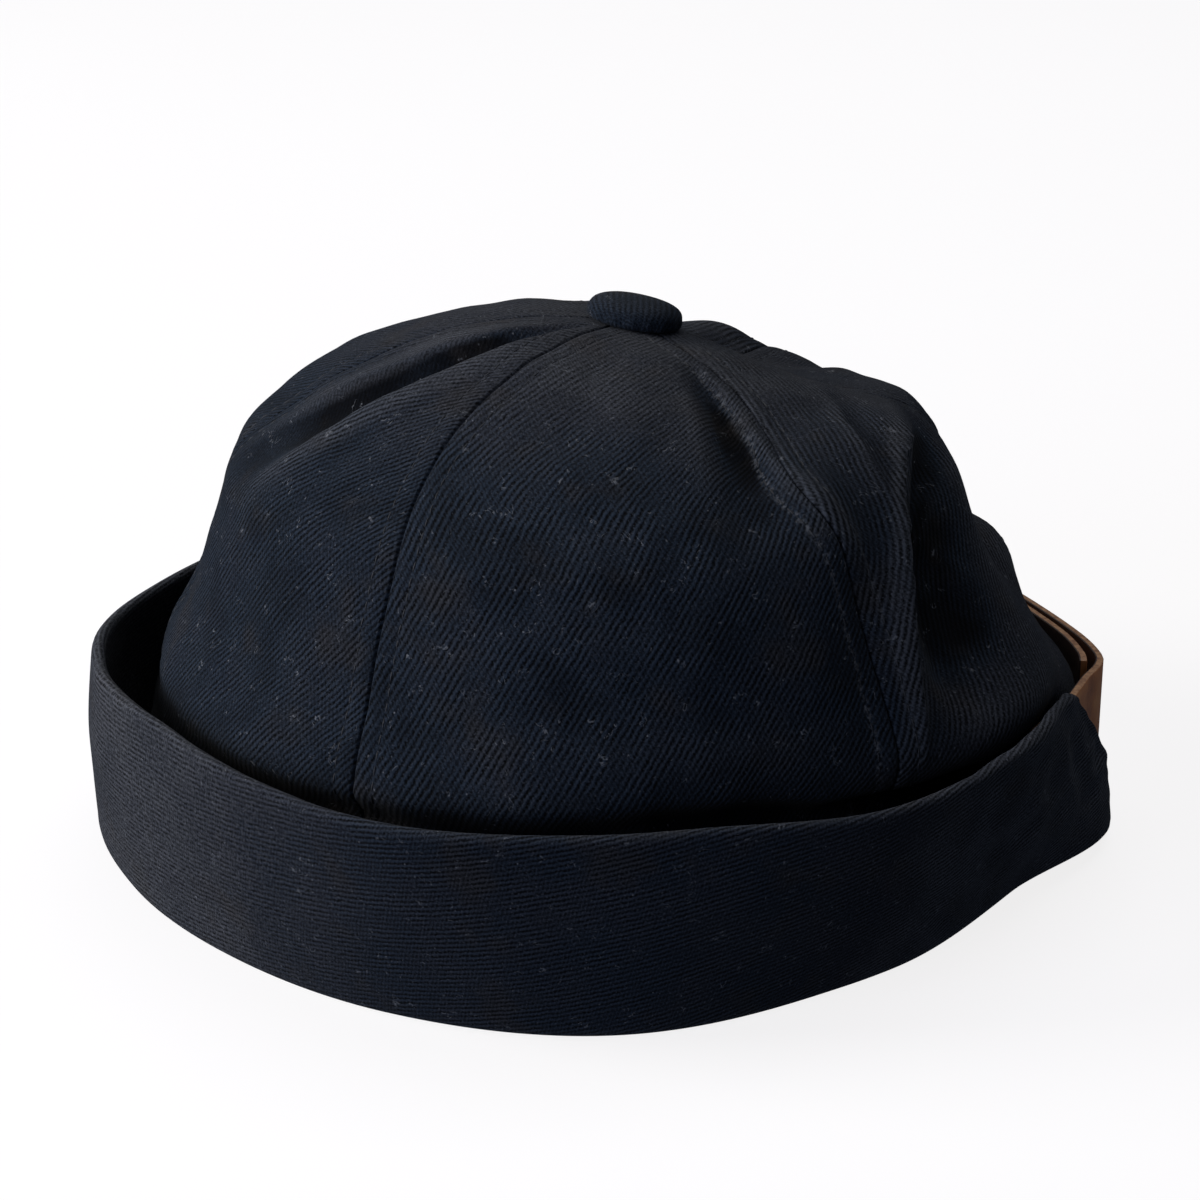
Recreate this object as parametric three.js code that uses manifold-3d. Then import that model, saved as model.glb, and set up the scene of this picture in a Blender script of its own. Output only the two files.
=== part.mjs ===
// Brimless fisherman cap of heavy black twill: six sewn crown panels, a turned-up cuff that is open at the
// back, a cloth-covered button on the apex and a two-layer leather strap that a stud holds at the back.
// Millimetres, +Z up, standing on z = 0. The front is -Y and the wearer's left is +X. Angles are in degrees
// round the cap from the front towards the wearer's left, so the back centre is 180.
import * as THREE from 'three';
import { mergeVertices } from 'three/addons/utils/BufferGeometryUtils.js';
import Module from 'manifold-3d';

// Cloth and clearances
const CLOTH = 1.4;
const CUFF_CLOTH = 3;
const SEAM_GAP = 0.3;
const SEAT_GAP = 0.3;
const HEM_GAP = 0.5;

// Crown seams on one side, mirrored to the other: the angle at shares of the way from hem to eyelet
const SEAM_SHARES = [0, 0.27, 0.41, 0.525, 0.625, 0.72, 0.84, 1];
const SEAMS = [
  { name: 'front', angles: [29, 28.5, 28, 27.5, 25, 23.8, 23.5, 23] },
  { name: 'side', angles: [102.5, 99.5, 97, 94.5, 90.5, 93.5, 97, 97] },
  { name: 'back', angles: [154, 153.5, 153, 153, 152.5, 152.5, 152, 152] },
];
const PANEL_ACROSS = 12;
const PANEL_UP = 18;
const PANEL_PUFF = 1.2;
const HEM_BLEND = 0.3;
const FOLD_TAPER = 1.5;

// Outline of the turned-up foot on the table, as its outer reach at each angle
const FOOT = [
  { angle: -180, reach: 94.5 },
  { angle: -146, reach: 107 },
  { angle: -122, reach: 97 },
  { angle: -90, reach: 95 },
  { angle: -62, reach: 102 },
  { angle: -36, reach: 108.5 },
  { angle: -10, reach: 101.5 },
  { angle: 12, reach: 96.5 },
  { angle: 35, reach: 95 },
  { angle: 62, reach: 94.6 },
  { angle: 92, reach: 89.3 },
  { angle: 122, reach: 93.6 },
  { angle: 146, reach: 108.8 },
  { angle: 180, reach: 94.5 },
];

// Crown sections from the foot to the eyelet: the outer reach at places round the cap, measured from a
// centre that leans towards the back. The hem itself follows the foot's outline.
const STATIONS = [
  { angle: -180, column: 'back' },
  { angle: -146, column: 'rightCorner' },
  { angle: -122, column: 'rearQuarter' },
  { angle: -90, column: 'rightSide' },
  { angle: -45, column: 'rightQuarter' },
  { angle: 0, column: 'front' },
  { angle: 45, column: 'leftQuarter' },
  { angle: 90, column: 'leftSide' },
  { angle: 122, column: 'rearQuarter' },
  { angle: 148, column: 'leftCorner' },
  { angle: 180, column: 'back' },
];
const SECTIONS = sections(
  ['height', 'lean', 'front', 'leftQuarter', 'rightQuarter', 'leftSide', 'rightSide',
    'rearQuarter', 'leftCorner', 'rightCorner', 'back'],
  [16, 0, 95, 91.5, 95.5, 86, 88.5, 88.5, 99.2, 97.5, 89],
  [34, 0, 94, 90, 92, 85.5, 86.5, 88.5, 99.2, 95.5, 88],
  [46, 0.5, 91, 87.5, 89, 86, 85.5, 93.5, 90.5, 91.5, 84],
  [58, 1, 84.5, 83.5, 84.3, 84, 84, 87, 81.5, 82, 76.5],
  [72, 2, 80.5, 80, 80.3, 80, 80, 79, 70, 70.5, 68],
  [85, 3.5, 76.3, 74.5, 76.6, 73.5, 73.5, 72, 67.5, 68.5, 67],
  [95, 5, 63.8, 63, 64, 61.5, 61.5, 60.5, 57.8, 59, 57.8],
  [101.5, 6.5, 45.5, 45.5, 44.8, 44, 44, 43, 42, 42, 41.5],
  [107.2, 7.5, 24, 24, 24, 24, 24, 23, 22, 22, 21.5],
  [109.6, 8, 4, 4, 4, 4, 4, 4, 4, 4, 4],
);

// The crown's top tips over towards the back left, fully at the apex and not at all below the shoulder
const TIP = { towards: 176, slope: 0.18, from: 0.55, to: 0.9 };

// Folds and dents of the slack cloth. Each follows a path of shares of the way from hem to eyelet and angles,
// and reaches so many degrees before and after it. A positive depth stands out.
const FOLDS = [
  {
    name: 'front groove', before: 9, after: 8, depth: -4,
    shares: [0.5, 0.62, 0.71, 0.77, 0.85, 0.97], angles: [-15, -9, -3, 0, 4.5, 10],
  },
  {
    name: 'front ridge', before: 6, after: 9, depth: 1.4,
    shares: [0.45, 0.58, 0.69, 0.76, 0.87, 0.97], angles: [-6, -2, 5, 9, 13, 17],
  },
  {
    name: 'side seam dent', before: 11, after: 5, depth: -3.4,
    shares: [0.54, 0.7, 0.9], angles: [84.5, 85.5, 89],
  },
  { name: 'side seam bump', before: 6, after: 9, depth: 1.6, shares: [0.48, 0.68], angles: [95, 92] },
  {
    name: 'back crease', before: 11, after: 5, depth: 2.2,
    shares: [0.24, 0.4, 0.49, 0.56, 0.66], angles: [105, 106, 108.5, 115, 132],
  },
  {
    name: 'back hollow', before: 7, after: 22, depth: -7,
    shares: [0.26, 0.4, 0.49, 0.56, 0.66], angles: [112, 113, 115.5, 122, 138],
  },
  { name: 'corner bump', before: 12, after: 14, depth: 4.6, shares: [0.31, 0.45], angles: [151, 151] },
  { name: 'tuck above the cuff', before: 38, after: 38, depth: -3.5, shares: [0.1, 0.33], angles: [85, 85] },
  { name: 'top hollow', before: 65, after: 65, depth: -7, shares: [0.5, 0.98], angles: [195, 195] },
  { name: 'shoulder bump', before: 13, after: 11, depth: 2.4, shares: [0.5, 0.78], angles: [-141, -139] },
  { name: 'shoulder dip', before: 12, after: 12, depth: -2.4, shares: [0.46, 0.74], angles: [-166, -166] },
  { name: 'back groove', before: 17, after: 17, depth: -2, shares: [0.3, 0.7], angles: [178, 184] },
  { name: 'right dent', before: 16, after: 16, depth: -3, shares: [0.45, 0.85], angles: [-80, -74] },
  { name: 'right crease', before: 10, after: 10, depth: 2, shares: [0.26, 0.7], angles: [-116, -120] },
  { name: 'right hollow', before: 14, after: 14, depth: -4, shares: [0.28, 0.72], angles: [-130, -134] },
];

// Cuff: the rim's outer reach at each angle. Its ends slant from the foot to the rim, over the strap.
const RIM = [
  { angle: -146, reach: 104 },
  { angle: -120, reach: 101 },
  { angle: -90, reach: 100.5 },
  { angle: -55, reach: 94.5 },
  { angle: -22, reach: 104.8 },
  { angle: 8, reach: 102.2 },
  { angle: 38, reach: 106.5 },
  { angle: 65, reach: 103.5 },
  { angle: 92, reach: 103 },
  { angle: 118, reach: 102.3 },
  { angle: 146, reach: 100.8 },
];
const CUFF_HEIGHT = 46;
const CUFF_ACROSS = 58;
const CUFF_LEVELS = [0, 0.03, 0.09, 0.25, 0.45, 0.65, 0.84, 0.94, 0.985, 1];
const CUFF_FOOT_END = 148;
const CUFF_RIM_END = 130;
const CUFF_END_BOW = 1.7;
const CUFF_BELLY = 1.2;
const CUFF_CORNER_DROP = 3;
const CUFF_CORNER_SPAN = 4;
const FOOT_ROUND = 1.2;
const FOOT_ROUND_LEVEL = 0.09;
const RIM_ROUND_LEVEL = 0.9;
const RIM_EDGE_SHARE = 0.4;

// Strap: two leather bands standing on edge across the back, one inside the other, as plan routes
const STRAP_THICKNESS = 1.7;
const STRAP_WIDTH = 18.5;
const STRAP_LOW = 20;
const STRAP_ACROSS = 36;
const STRAP_UP = 4;
const STRAP_END_ROUND = 0.06;
const STRAP_END_TAPER = 0.9;
const OUTER_ROUTE = [
  { x: 77.8, y: 54.3 },
  { x: 73.5, y: 63 },
  { x: 69.5, y: 69.5 },
  { x: 65.2, y: 75.4 },
  { x: 61.6, y: 80.4 },
  { x: 58, y: 86.2 },
  { x: 53.6, y: 89.8 },
  { x: 42, y: 93.2 },
  { x: 20, y: 95.8 },
  { x: 0, y: 96.4 },
  { x: -20, y: 95.6 },
  { x: -36, y: 93.9 },
];
const INNER_ROUTE = [
  { x: -79, y: 55.2 },
  { x: -74, y: 63.3 },
  { x: -70, y: 69.8 },
  { x: -65.2, y: 75.4 },
  { x: -60.4, y: 82 },
  { x: -53, y: 87 },
  { x: -36, y: 91.2 },
  { x: -18, y: 93.2 },
  { x: 0, y: 94.1 },
  { x: 20, y: 93.3 },
  { x: 40, y: 90.8 },
  { x: 51, y: 87.3 },
  { x: 55, y: 84.8 },
];

// Stud that pins the two layers of the strap at the back centre, and the side of its head from the strap
// to the top, as shares of the head's radius and height
const STUD = { headRadius: 5, headHeight: 2.6, shankRadius: 2, baseRadius: 4, baseHeight: 0.8, sides: 20 };
const STUD_HEAD = [
  { radius: 1, height: 0 },
  { radius: 1, height: 0.3 },
  { radius: 0.6, height: 0.85 },
  { radius: 0, height: 1 },
];

// Covered button, and its side from the underside to the top, as shares of its radius and height
const BUTTON = { radius: 9.8, height: 4.8, shankRadius: 2.5, shankDepth: 4, sides: 24 };
const BUTTON_SIDE = [
  { radius: 0.86, height: 0 },
  { radius: 0.97, height: 0.13 },
  { radius: 1, height: 0.38 },
  { radius: 0.94, height: 0.64 },
  { radius: 0.74, height: 0.86 },
  { radius: 0.42, height: 0.97 },
  { radius: 0, height: 1 },
];

// Finishes
const TWILL = { color: '#15161b', roughness: 0.95, metalness: 0 };
const LEATHER = { color: '#b07a55', roughness: 0.6, metalness: 0 };
const BRASS = { color: '#8a7040', roughness: 0.4, metalness: 1 };

const wasm = await Module();
wasm.setup();

// Rows of a table as objects with named columns
function sections(columns, ...rows) {
  return rows.map((row) => Object.fromEntries(columns.map((name, i) => [name, row[i]])));
}

const radians = THREE.MathUtils.degToRad;
const lerp = THREE.MathUtils.lerp;
const smoothstep = THREE.MathUtils.smoothstep;
const Z_AXIS = new THREE.Vector3(0, 0, 1);
const NORMAL_STEP = { angle: 0.5, share: 0.004 };

// Smooth curve through a table: `keys` rise, and `ends` gives the slope at each end.
function throughRows(keys, values, at, ends = [null, null]) {
  const last = keys.length - 1;
  const chord = (i) => (values[i + 1] - values[i]) / (keys[i + 1] - keys[i]);
  const slope = (i) => {
    if (i === 0) return ends[0] ?? chord(0);
    if (i === last) return ends[1] ?? chord(last - 1);
    return (values[i + 1] - values[i - 1]) / (keys[i + 1] - keys[i - 1]);
  };
  let i = 0;
  while (i < last - 1 && at > keys[i + 1]) i += 1;
  const span = keys[i + 1] - keys[i];
  const t = THREE.MathUtils.clamp((at - keys[i]) / span, 0, 1);
  const fromLeft = t * (1 - t) * (1 - t) * span * slope(i);
  const fromRight = t * t * (1 - t) * span * slope(i + 1);
  const rise = t * t * (3 - 2 * t);
  return lerp(values[i], values[i + 1], rise) + fromLeft - fromRight;
}

const wrapped = (angle) => THREE.MathUtils.euclideanModulo(angle + 180, 360) - 180;

// Reach at any angle, from the values of a table whose angles run from back round the front to back
function roundTheCap(angles, values, angle) {
  return throughRows(angles, values, wrapped(angle), [0, 0]);
}

const footAngles = FOOT.map((row) => row.angle);
const footReaches = FOOT.map((row) => row.reach);
const footReach = (angle) => roundTheCap(footAngles, footReaches, angle);
const hemReach = (angle) => footReach(angle) - CUFF_CLOTH - HEM_GAP;

// Share of the way up a panel at which each section lies, measured along the left side of the cap
const stationAngles = STATIONS.map((row) => row.angle);
const hemAtStations = stationAngles.map(hemReach);
const sideStation = STATIONS.findIndex((row) => row.column === 'leftSide');
const wayUp = [0];
SECTIONS.forEach((row, i) => {
  const below = i ? SECTIONS[i - 1] : { height: 0, leftSide: hemAtStations[sideStation] };
  wayUp.push(wayUp[i] + Math.hypot(row.height - below.height, row.leftSide - below.leftSide));
});
const sectionShares = wayUp.map((length) => length / wayUp.at(-1));
const sectionColumn = (name, atHem) => [atHem, ...SECTIONS.map((row) => row[name])];

// Point of the smooth crown, with no folds in it
function crownForm(angle, share) {
  const reaches = STATIONS.map((row, i) =>
    throughRows(sectionShares, sectionColumn(row.column, hemAtStations[i]), share));
  const hemShape = hemReach(angle) - roundTheCap(stationAngles, hemAtStations, angle);
  const reach = roundTheCap(stationAngles, reaches, angle) + hemShape * (1 - smoothstep(share, 0, HEM_BLEND));
  const lean = throughRows(sectionShares, sectionColumn('lean', 0), share);
  const height = throughRows(sectionShares, sectionColumn('height', 0), share);
  const along = reach * Math.cos(radians(angle - TIP.towards));
  const drop = TIP.slope * along * smoothstep(share, TIP.from, TIP.to);
  return new THREE.Vector3(
    reach * Math.sin(radians(angle)),
    lean - reach * Math.cos(radians(angle)),
    height - drop,
  );
}

// Outward direction of the smooth crown, from two short steps along it
function crownNormal(angle, share) {
  const low = Math.min(share, 1 - NORMAL_STEP.share);
  const round = crownForm(angle + NORMAL_STEP.angle, share).sub(crownForm(angle - NORMAL_STEP.angle, share));
  const up = crownForm(angle, low + NORMAL_STEP.share).sub(crownForm(angle, low));
  return round.cross(up).normalize();
}

// How far the folds push the cloth out at one place
function foldDepth(angle, share) {
  let depth = 0;
  for (const fold of FOLDS) {
    const along = (share - fold.shares[0]) / (fold.shares.at(-1) - fold.shares[0]);
    if (along <= 0 || along >= 1) continue;
    const away = wrapped(angle - throughRows(fold.shares, fold.angles, share));
    const off = Math.abs(away) / (away < 0 ? fold.before : fold.after);
    if (off >= 1) continue;
    depth += fold.depth * Math.sin(Math.PI * along) ** FOLD_TAPER * Math.cos(Math.PI * off / 2) ** 2;
  }
  return depth;
}

// A flat sheet of cloth or leather bent into place: place(across, up, out) runs from 0 to 1 in each
function bentSheet(acrossCount, upCount, place) {
  const geometry = new THREE.BoxGeometry(1, 1, 1, acrossCount, upCount, 1);
  const points = geometry.attributes.position;
  for (let i = 0; i < points.count; i += 1) {
    const spot = place(points.getX(i) + 0.5, points.getY(i) + 0.5, points.getZ(i) + 0.5);
    points.setXYZ(i, spot.x, spot.y, spot.z);
  }
  return closed(geometry);
}

function closed(geometry) {
  geometry.deleteAttribute('normal');
  geometry.deleteAttribute('uv');
  return mergeVertices(geometry);
}

function solid(geometry) {
  const vertProperties = new Float32Array(geometry.attributes.position.array);
  const triVerts = new Uint32Array(geometry.index.array);
  return new wasm.Manifold(new wasm.Mesh({ numProp: 3, vertProperties, triVerts }));
}

function cut(geometry, tool) {
  const mesh = solid(geometry).subtract(solid(tool)).getMesh();
  const left = new THREE.BufferGeometry();
  left.setAttribute('position', new THREE.BufferAttribute(mesh.vertProperties, 3));
  left.setIndex(new THREE.BufferAttribute(mesh.triVerts, 1));
  return left;
}

function piece(name, geometry, finish) {
  geometry.computeVertexNormals();
  const mesh = new THREE.Mesh(geometry, new THREE.MeshStandardMaterial(finish));
  mesh.name = name;
  return mesh;
}

// One crown panel between two seams, a little puffed between them
function crownPanel(from, to) {
  return bentSheet(PANEL_ACROSS, PANEL_UP, (across, up, out) => {
    const fromAngle = throughRows(SEAM_SHARES, from, up);
    const toAngle = throughRows(SEAM_SHARES, to, up);
    const middle = crownForm((fromAngle + toAngle) / 2, up);
    const reach = Math.hypot(middle.x, middle.y - SECTIONS.at(-1).lean * up);
    const seam = THREE.MathUtils.radToDeg(SEAM_GAP / 2 / reach);
    const angle = lerp(fromAngle + seam, toAngle - seam, across);
    const spot = crownForm(angle, up);
    const puff = PANEL_PUFF * Math.sin(Math.PI * across) * Math.sin(Math.PI * up);
    const lift = puff + foldDepth(angle, up) - CLOTH * (1 - out);
    spot.addScaledVector(crownNormal(angle, up), lift);
    if (up === 0) spot.z = 0;
    return spot;
  });
}

// Turned-up cuff, from the slanted end on the right round the front to the one on the left
function cuff() {
  const rimAngles = RIM.map((row) => row.angle);
  const rimReaches = RIM.map((row) => row.reach);
  return bentSheet(CUFF_ACROSS, CUFF_LEVELS.length - 1, (across, up, out) => {
    const level = CUFF_LEVELS[Math.round(up * (CUFF_LEVELS.length - 1))];
    const end = lerp(CUFF_FOOT_END, CUFF_RIM_END, level ** CUFF_END_BOW);
    const angle = lerp(-end, end, across);
    const fromEnd = Math.min(1, (end - Math.abs(angle)) / CUFF_CORNER_SPAN);
    const corner = CUFF_CORNER_DROP * (1 - fromEnd) ** 2 * level;
    const height = CUFF_HEIGHT * level - corner;
    const rim = throughRows(rimAngles, rimReaches, angle);
    const footRound = FOOT_ROUND * Math.max(0, 1 - level / FOOT_ROUND_LEVEL) ** 2;
    const belly = CUFF_BELLY * Math.sin(Math.PI * level);
    const outer = lerp(footReach(angle), rim, level) + belly - footRound;
    const thin = lerp(1, RIM_EDGE_SHARE, Math.max(0, (level - RIM_ROUND_LEVEL) / (1 - RIM_ROUND_LEVEL)) ** 2);
    const wall = level < FOOT_ROUND_LEVEL ? CUFF_CLOTH - footRound : CUFF_CLOTH;
    const reach = outer - wall * lerp((1 + thin) / 2, (1 - thin) / 2, out);
    return new THREE.Vector3(reach * Math.sin(radians(angle)), -reach * Math.cos(radians(angle)), height);
  });
}

// Leather band on edge along a plan route, with its free end rounded
function strap(route, roundEnd) {
  const corners = route.map((p) => new THREE.Vector3(p.x, p.y, 0));
  const curve = new THREE.CatmullRomCurve3(corners, false, 'centripetal');
  const side = Math.sign(route[0].x);
  return bentSheet(STRAP_ACROSS, STRAP_UP, (across, up, out) => {
    const along = side > 0 ? across : 1 - across;
    const spot = curve.getPointAt(along);
    const outward = curve.getTangentAt(along).cross(Z_AXIS).multiplyScalar(side);
    spot.addScaledVector(outward, STRAP_THICKNESS * (out - 0.5));
    const past = roundEnd ? Math.max(0, (along - 1 + STRAP_END_ROUND) / STRAP_END_ROUND) : 0;
    const half = STRAP_WIDTH / 2 * Math.sqrt(1 - (STRAP_END_TAPER * past) ** 2);
    spot.z = STRAP_LOW + STRAP_WIDTH / 2 + half * (2 * up - 1);
    return spot;
  });
}

const strapCentre = STRAP_LOW + STRAP_WIDTH / 2;
const outerBack = OUTER_ROUTE.find((p) => p.x === 0).y;
const innerBack = INNER_ROUTE.find((p) => p.x === 0).y;

function studHole() {
  const hole = new THREE.CylinderGeometry(
    STUD.shankRadius + SEAT_GAP, STUD.shankRadius + SEAT_GAP, 4 * STRAP_THICKNESS, STUD.sides);
  hole.translate(0, (outerBack + innerBack) / 2, strapCentre);
  return closed(hole);
}

// Stud turned about Y: a flat base inside the straps, a shank through both and a domed head outside
function stud() {
  const inside = innerBack - STRAP_THICKNESS / 2 - SEAT_GAP;
  const outside = outerBack + STRAP_THICKNESS / 2 + SEAT_GAP;
  const profile = [
    new THREE.Vector2(0, inside - STUD.baseHeight),
    new THREE.Vector2(STUD.baseRadius, inside - STUD.baseHeight),
    new THREE.Vector2(STUD.baseRadius, inside),
    new THREE.Vector2(STUD.shankRadius, inside),
    new THREE.Vector2(STUD.shankRadius, outside),
    ...STUD_HEAD.map((p) =>
      new THREE.Vector2(p.radius * STUD.headRadius, outside + p.height * STUD.headHeight)),
  ];
  const turned = new THREE.LatheGeometry(profile, STUD.sides);
  turned.translate(0, 0, strapCentre);
  return closed(turned);
}

// Button turned about its own axis, with the shank that goes down through the eyelet
function button() {
  const profile = [
    new THREE.Vector2(0, -BUTTON.shankDepth),
    new THREE.Vector2(BUTTON.shankRadius, -BUTTON.shankDepth),
    new THREE.Vector2(BUTTON.shankRadius, 0),
    ...BUTTON_SIDE.map((p) => new THREE.Vector2(p.radius * BUTTON.radius, p.height * BUTTON.height)),
  ];
  const turned = new THREE.LatheGeometry(profile, BUTTON.sides);
  turned.rotateX(Math.PI / 2);
  return closed(turned);
}

const cap = new THREE.Group();

const [frontSeam, sideSeam, backSeam] = SEAMS.map((seam) => seam.angles);
const mirrored = (seam, turn = 0) => seam.map((angle) => turn - angle);
const PANELS = [
  { name: 'crown_panel_front', from: mirrored(frontSeam), to: frontSeam },
  { name: 'crown_panel_front_left', from: frontSeam, to: sideSeam },
  { name: 'crown_panel_back_left', from: sideSeam, to: backSeam },
  { name: 'crown_panel_back', from: backSeam, to: mirrored(backSeam, 360) },
  { name: 'crown_panel_back_right', from: mirrored(backSeam), to: mirrored(sideSeam) },
  { name: 'crown_panel_front_right', from: mirrored(sideSeam), to: mirrored(frontSeam) },
];
for (const { name, from, to } of PANELS) cap.add(piece(name, crownPanel(from, to), TWILL));

cap.add(piece('cuff', cuff(), TWILL));

const top = SECTIONS.at(-1);
const buttonMesh = piece('crown_button', button(), TWILL);
const tipAxis = new THREE.Vector3(Math.cos(radians(TIP.towards)), Math.sin(radians(TIP.towards)), 0);
buttonMesh.quaternion.setFromAxisAngle(tipAxis, Math.atan(TIP.slope));
buttonMesh.position.set(0, top.lean, top.height + SEAT_GAP);
cap.add(buttonMesh);

cap.add(piece('strap_outer', cut(strap(OUTER_ROUTE, true), studHole()), LEATHER));
cap.add(piece('strap_inner', cut(strap(INNER_ROUTE, false), studHole()), LEATHER));
cap.add(piece('strap_stud', stud(), BRASS));

export default cap;
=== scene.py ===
"""Fisherman cap: brimless, of heavy black twill, with a turned-up cuff, a covered button and a leather strap.

The cloth pieces are grids that follow the same forms as the solids, in more detail: rolled seams with rows of
top-stitching, folds, creases and slack. Lengths in the tables are millimetres and angles are degrees round the
cap from the front (-Y) towards the wearer's left (+X).
"""
import math

import bpy
import numpy as np
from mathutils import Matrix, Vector


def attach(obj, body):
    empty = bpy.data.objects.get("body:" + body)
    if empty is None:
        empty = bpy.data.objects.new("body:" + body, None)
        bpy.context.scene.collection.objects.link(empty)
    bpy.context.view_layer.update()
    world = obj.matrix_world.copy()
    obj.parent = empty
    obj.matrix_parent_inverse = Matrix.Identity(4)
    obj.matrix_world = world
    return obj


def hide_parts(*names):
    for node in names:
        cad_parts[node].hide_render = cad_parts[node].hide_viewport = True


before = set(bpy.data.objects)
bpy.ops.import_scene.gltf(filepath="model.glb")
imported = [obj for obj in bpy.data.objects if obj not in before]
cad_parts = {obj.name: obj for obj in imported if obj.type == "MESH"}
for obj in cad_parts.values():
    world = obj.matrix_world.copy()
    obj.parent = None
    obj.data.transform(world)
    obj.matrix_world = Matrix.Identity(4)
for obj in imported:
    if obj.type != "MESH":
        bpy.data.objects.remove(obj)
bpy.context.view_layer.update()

MM = 0.001

# Cloth and clearances
CLOTH = 1.4
CUFF_CLOTH = 3.0
SEAM_GAP = 0.06
HEM_GAP = 0.5
HEM_LAP = 0.6
HEM_LIFT = 0.4
PANEL_PUFF = 1.2
HEM_BLEND = 0.3

# Crown seams on one side, mirrored to the other: the angle at shares of the way from hem to eyelet
SEAM_SHARES = (0, 0.27, 0.41, 0.525, 0.625, 0.72, 0.84, 1)
SEAMS = {
    "front": (29, 28.5, 28, 27.5, 25, 23.8, 23.5, 23),
    "side": (102.5, 99.5, 97, 94.5, 90.5, 93.5, 97, 97),
    "back": (154, 153.5, 153, 153, 152.5, 152.5, 152, 152),
}

# Outer reach of the turned-up foot at each angle
FOOT = (
    (-180, 94.5), (-146, 107), (-122, 97), (-90, 95), (-62, 102), (-36, 108.5), (-10, 101.5),
    (12, 96.5), (35, 95), (62, 94.6), (92, 89.3), (122, 93.6), (146, 108.8), (180, 94.5),
)

# The foot curls up off the floor at the back left corner (laid out as a row of FOLDS), and how far up the crown
# and the cuff this reaches, as a share of each
FOOT_CURL = ("curl of the foot", (-1, 1), (130, 130), 30, 32, 4.2)
CROWN_CURL_REACH = 0.12
CUFF_CURL_REACH = 0.45

# Crown sections from the foot to the eyelet: outer reach at the stations round the cap
STATIONS = (
    (-180, "back"), (-146, "right_corner"), (-122, "rear_quarter"), (-90, "right_side"), (-45, "right_quarter"),
    (0, "front"), (45, "left_quarter"), (90, "left_side"), (122, "rear_quarter"), (148, "left_corner"),
    (180, "back"),
)
SECTION_COLUMNS = (
    "height", "lean", "front", "left_quarter", "right_quarter", "left_side", "right_side",
    "rear_quarter", "left_corner", "right_corner", "back",
)
SECTION_ROWS = (
    (16, 0, 95, 91.5, 95.5, 86, 88.5, 88.5, 99.2, 97.5, 89),
    (34, 0, 94, 90, 92, 85.5, 86.5, 88.5, 99.2, 95.5, 88),
    (46, 0.5, 91, 87.5, 89, 86, 85.5, 93.5, 90.5, 91.5, 84),
    (58, 1, 84.5, 83.5, 84.3, 84, 84, 87, 81.5, 82, 76.5),
    (72, 2, 80.5, 80, 80.3, 80, 80, 79, 70, 70.5, 68),
    (85, 3.5, 76.3, 74.5, 76.6, 73.5, 73.5, 72, 67.5, 68.5, 67),
    (95, 5, 63.8, 63, 64, 61.5, 61.5, 60.5, 57.8, 59, 57.8),
    (101.5, 6.5, 45.5, 45.5, 44.8, 44, 44, 43, 42, 42, 41.5),
    (107.2, 7.5, 24, 24, 24, 24, 24, 23, 22, 22, 21.5),
    (109.6, 8, 4, 4, 4, 4, 4, 4, 4, 4, 4),
)

# The crown's top tips over towards the back, a little to the left
TIP_TOWARDS = 176
TIP_SLOPE = 0.18
TIP_FROM, TIP_TO = 0.55, 0.9

# Folds and dents of the slack cloth: the shares of the way from hem to eyelet and the angles of their path, how
# many degrees they reach before and after it, and depth (standing out where it is positive)
FOLDS = (
    ("front groove", (0.5, 0.62, 0.71, 0.77, 0.85, 0.97), (-15, -9, -3, 0, 4.5, 10), 9, 8, -4),
    ("front ridge", (0.45, 0.58, 0.69, 0.76, 0.87, 0.97), (-6, -2, 5, 9, 13, 17), 6, 9, 1.4),
    ("side seam dent", (0.54, 0.7, 0.9), (84.5, 85.5, 89), 11, 5, -3.4),
    ("side seam bump", (0.48, 0.68), (95, 92), 6, 9, 1.6),
    ("back crease", (0.24, 0.4, 0.49, 0.56, 0.66), (105, 106, 108.5, 115, 132), 11, 5, 2.2),
    ("back hollow", (0.26, 0.4, 0.49, 0.56, 0.66), (112, 113, 115.5, 122, 138), 7, 22, -7),
    ("corner bump", (0.31, 0.45), (151, 151), 12, 14, 4.6),
    ("tuck above the cuff", (0.1, 0.33), (85, 85), 38, 38, -3.5),
    ("top hollow", (0.5, 0.98), (195, 195), 65, 65, -7),
    ("shoulder bump", (0.5, 0.78), (-141, -139), 13, 11, 2.4),
    ("shoulder dip", (0.46, 0.74), (-166, -166), 12, 12, -2.4),
    ("back groove", (0.3, 0.7), (178, 184), 17, 17, -2),
    ("right dent", (0.45, 0.85), (-80, -74), 16, 16, -3),
    ("right crease", (0.26, 0.7), (-116, -120), 10, 10, 2),
    ("right hollow", (0.28, 0.72), (-130, -134), 14, 14, -4),
)
FOLD_TAPER = 1.5

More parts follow.
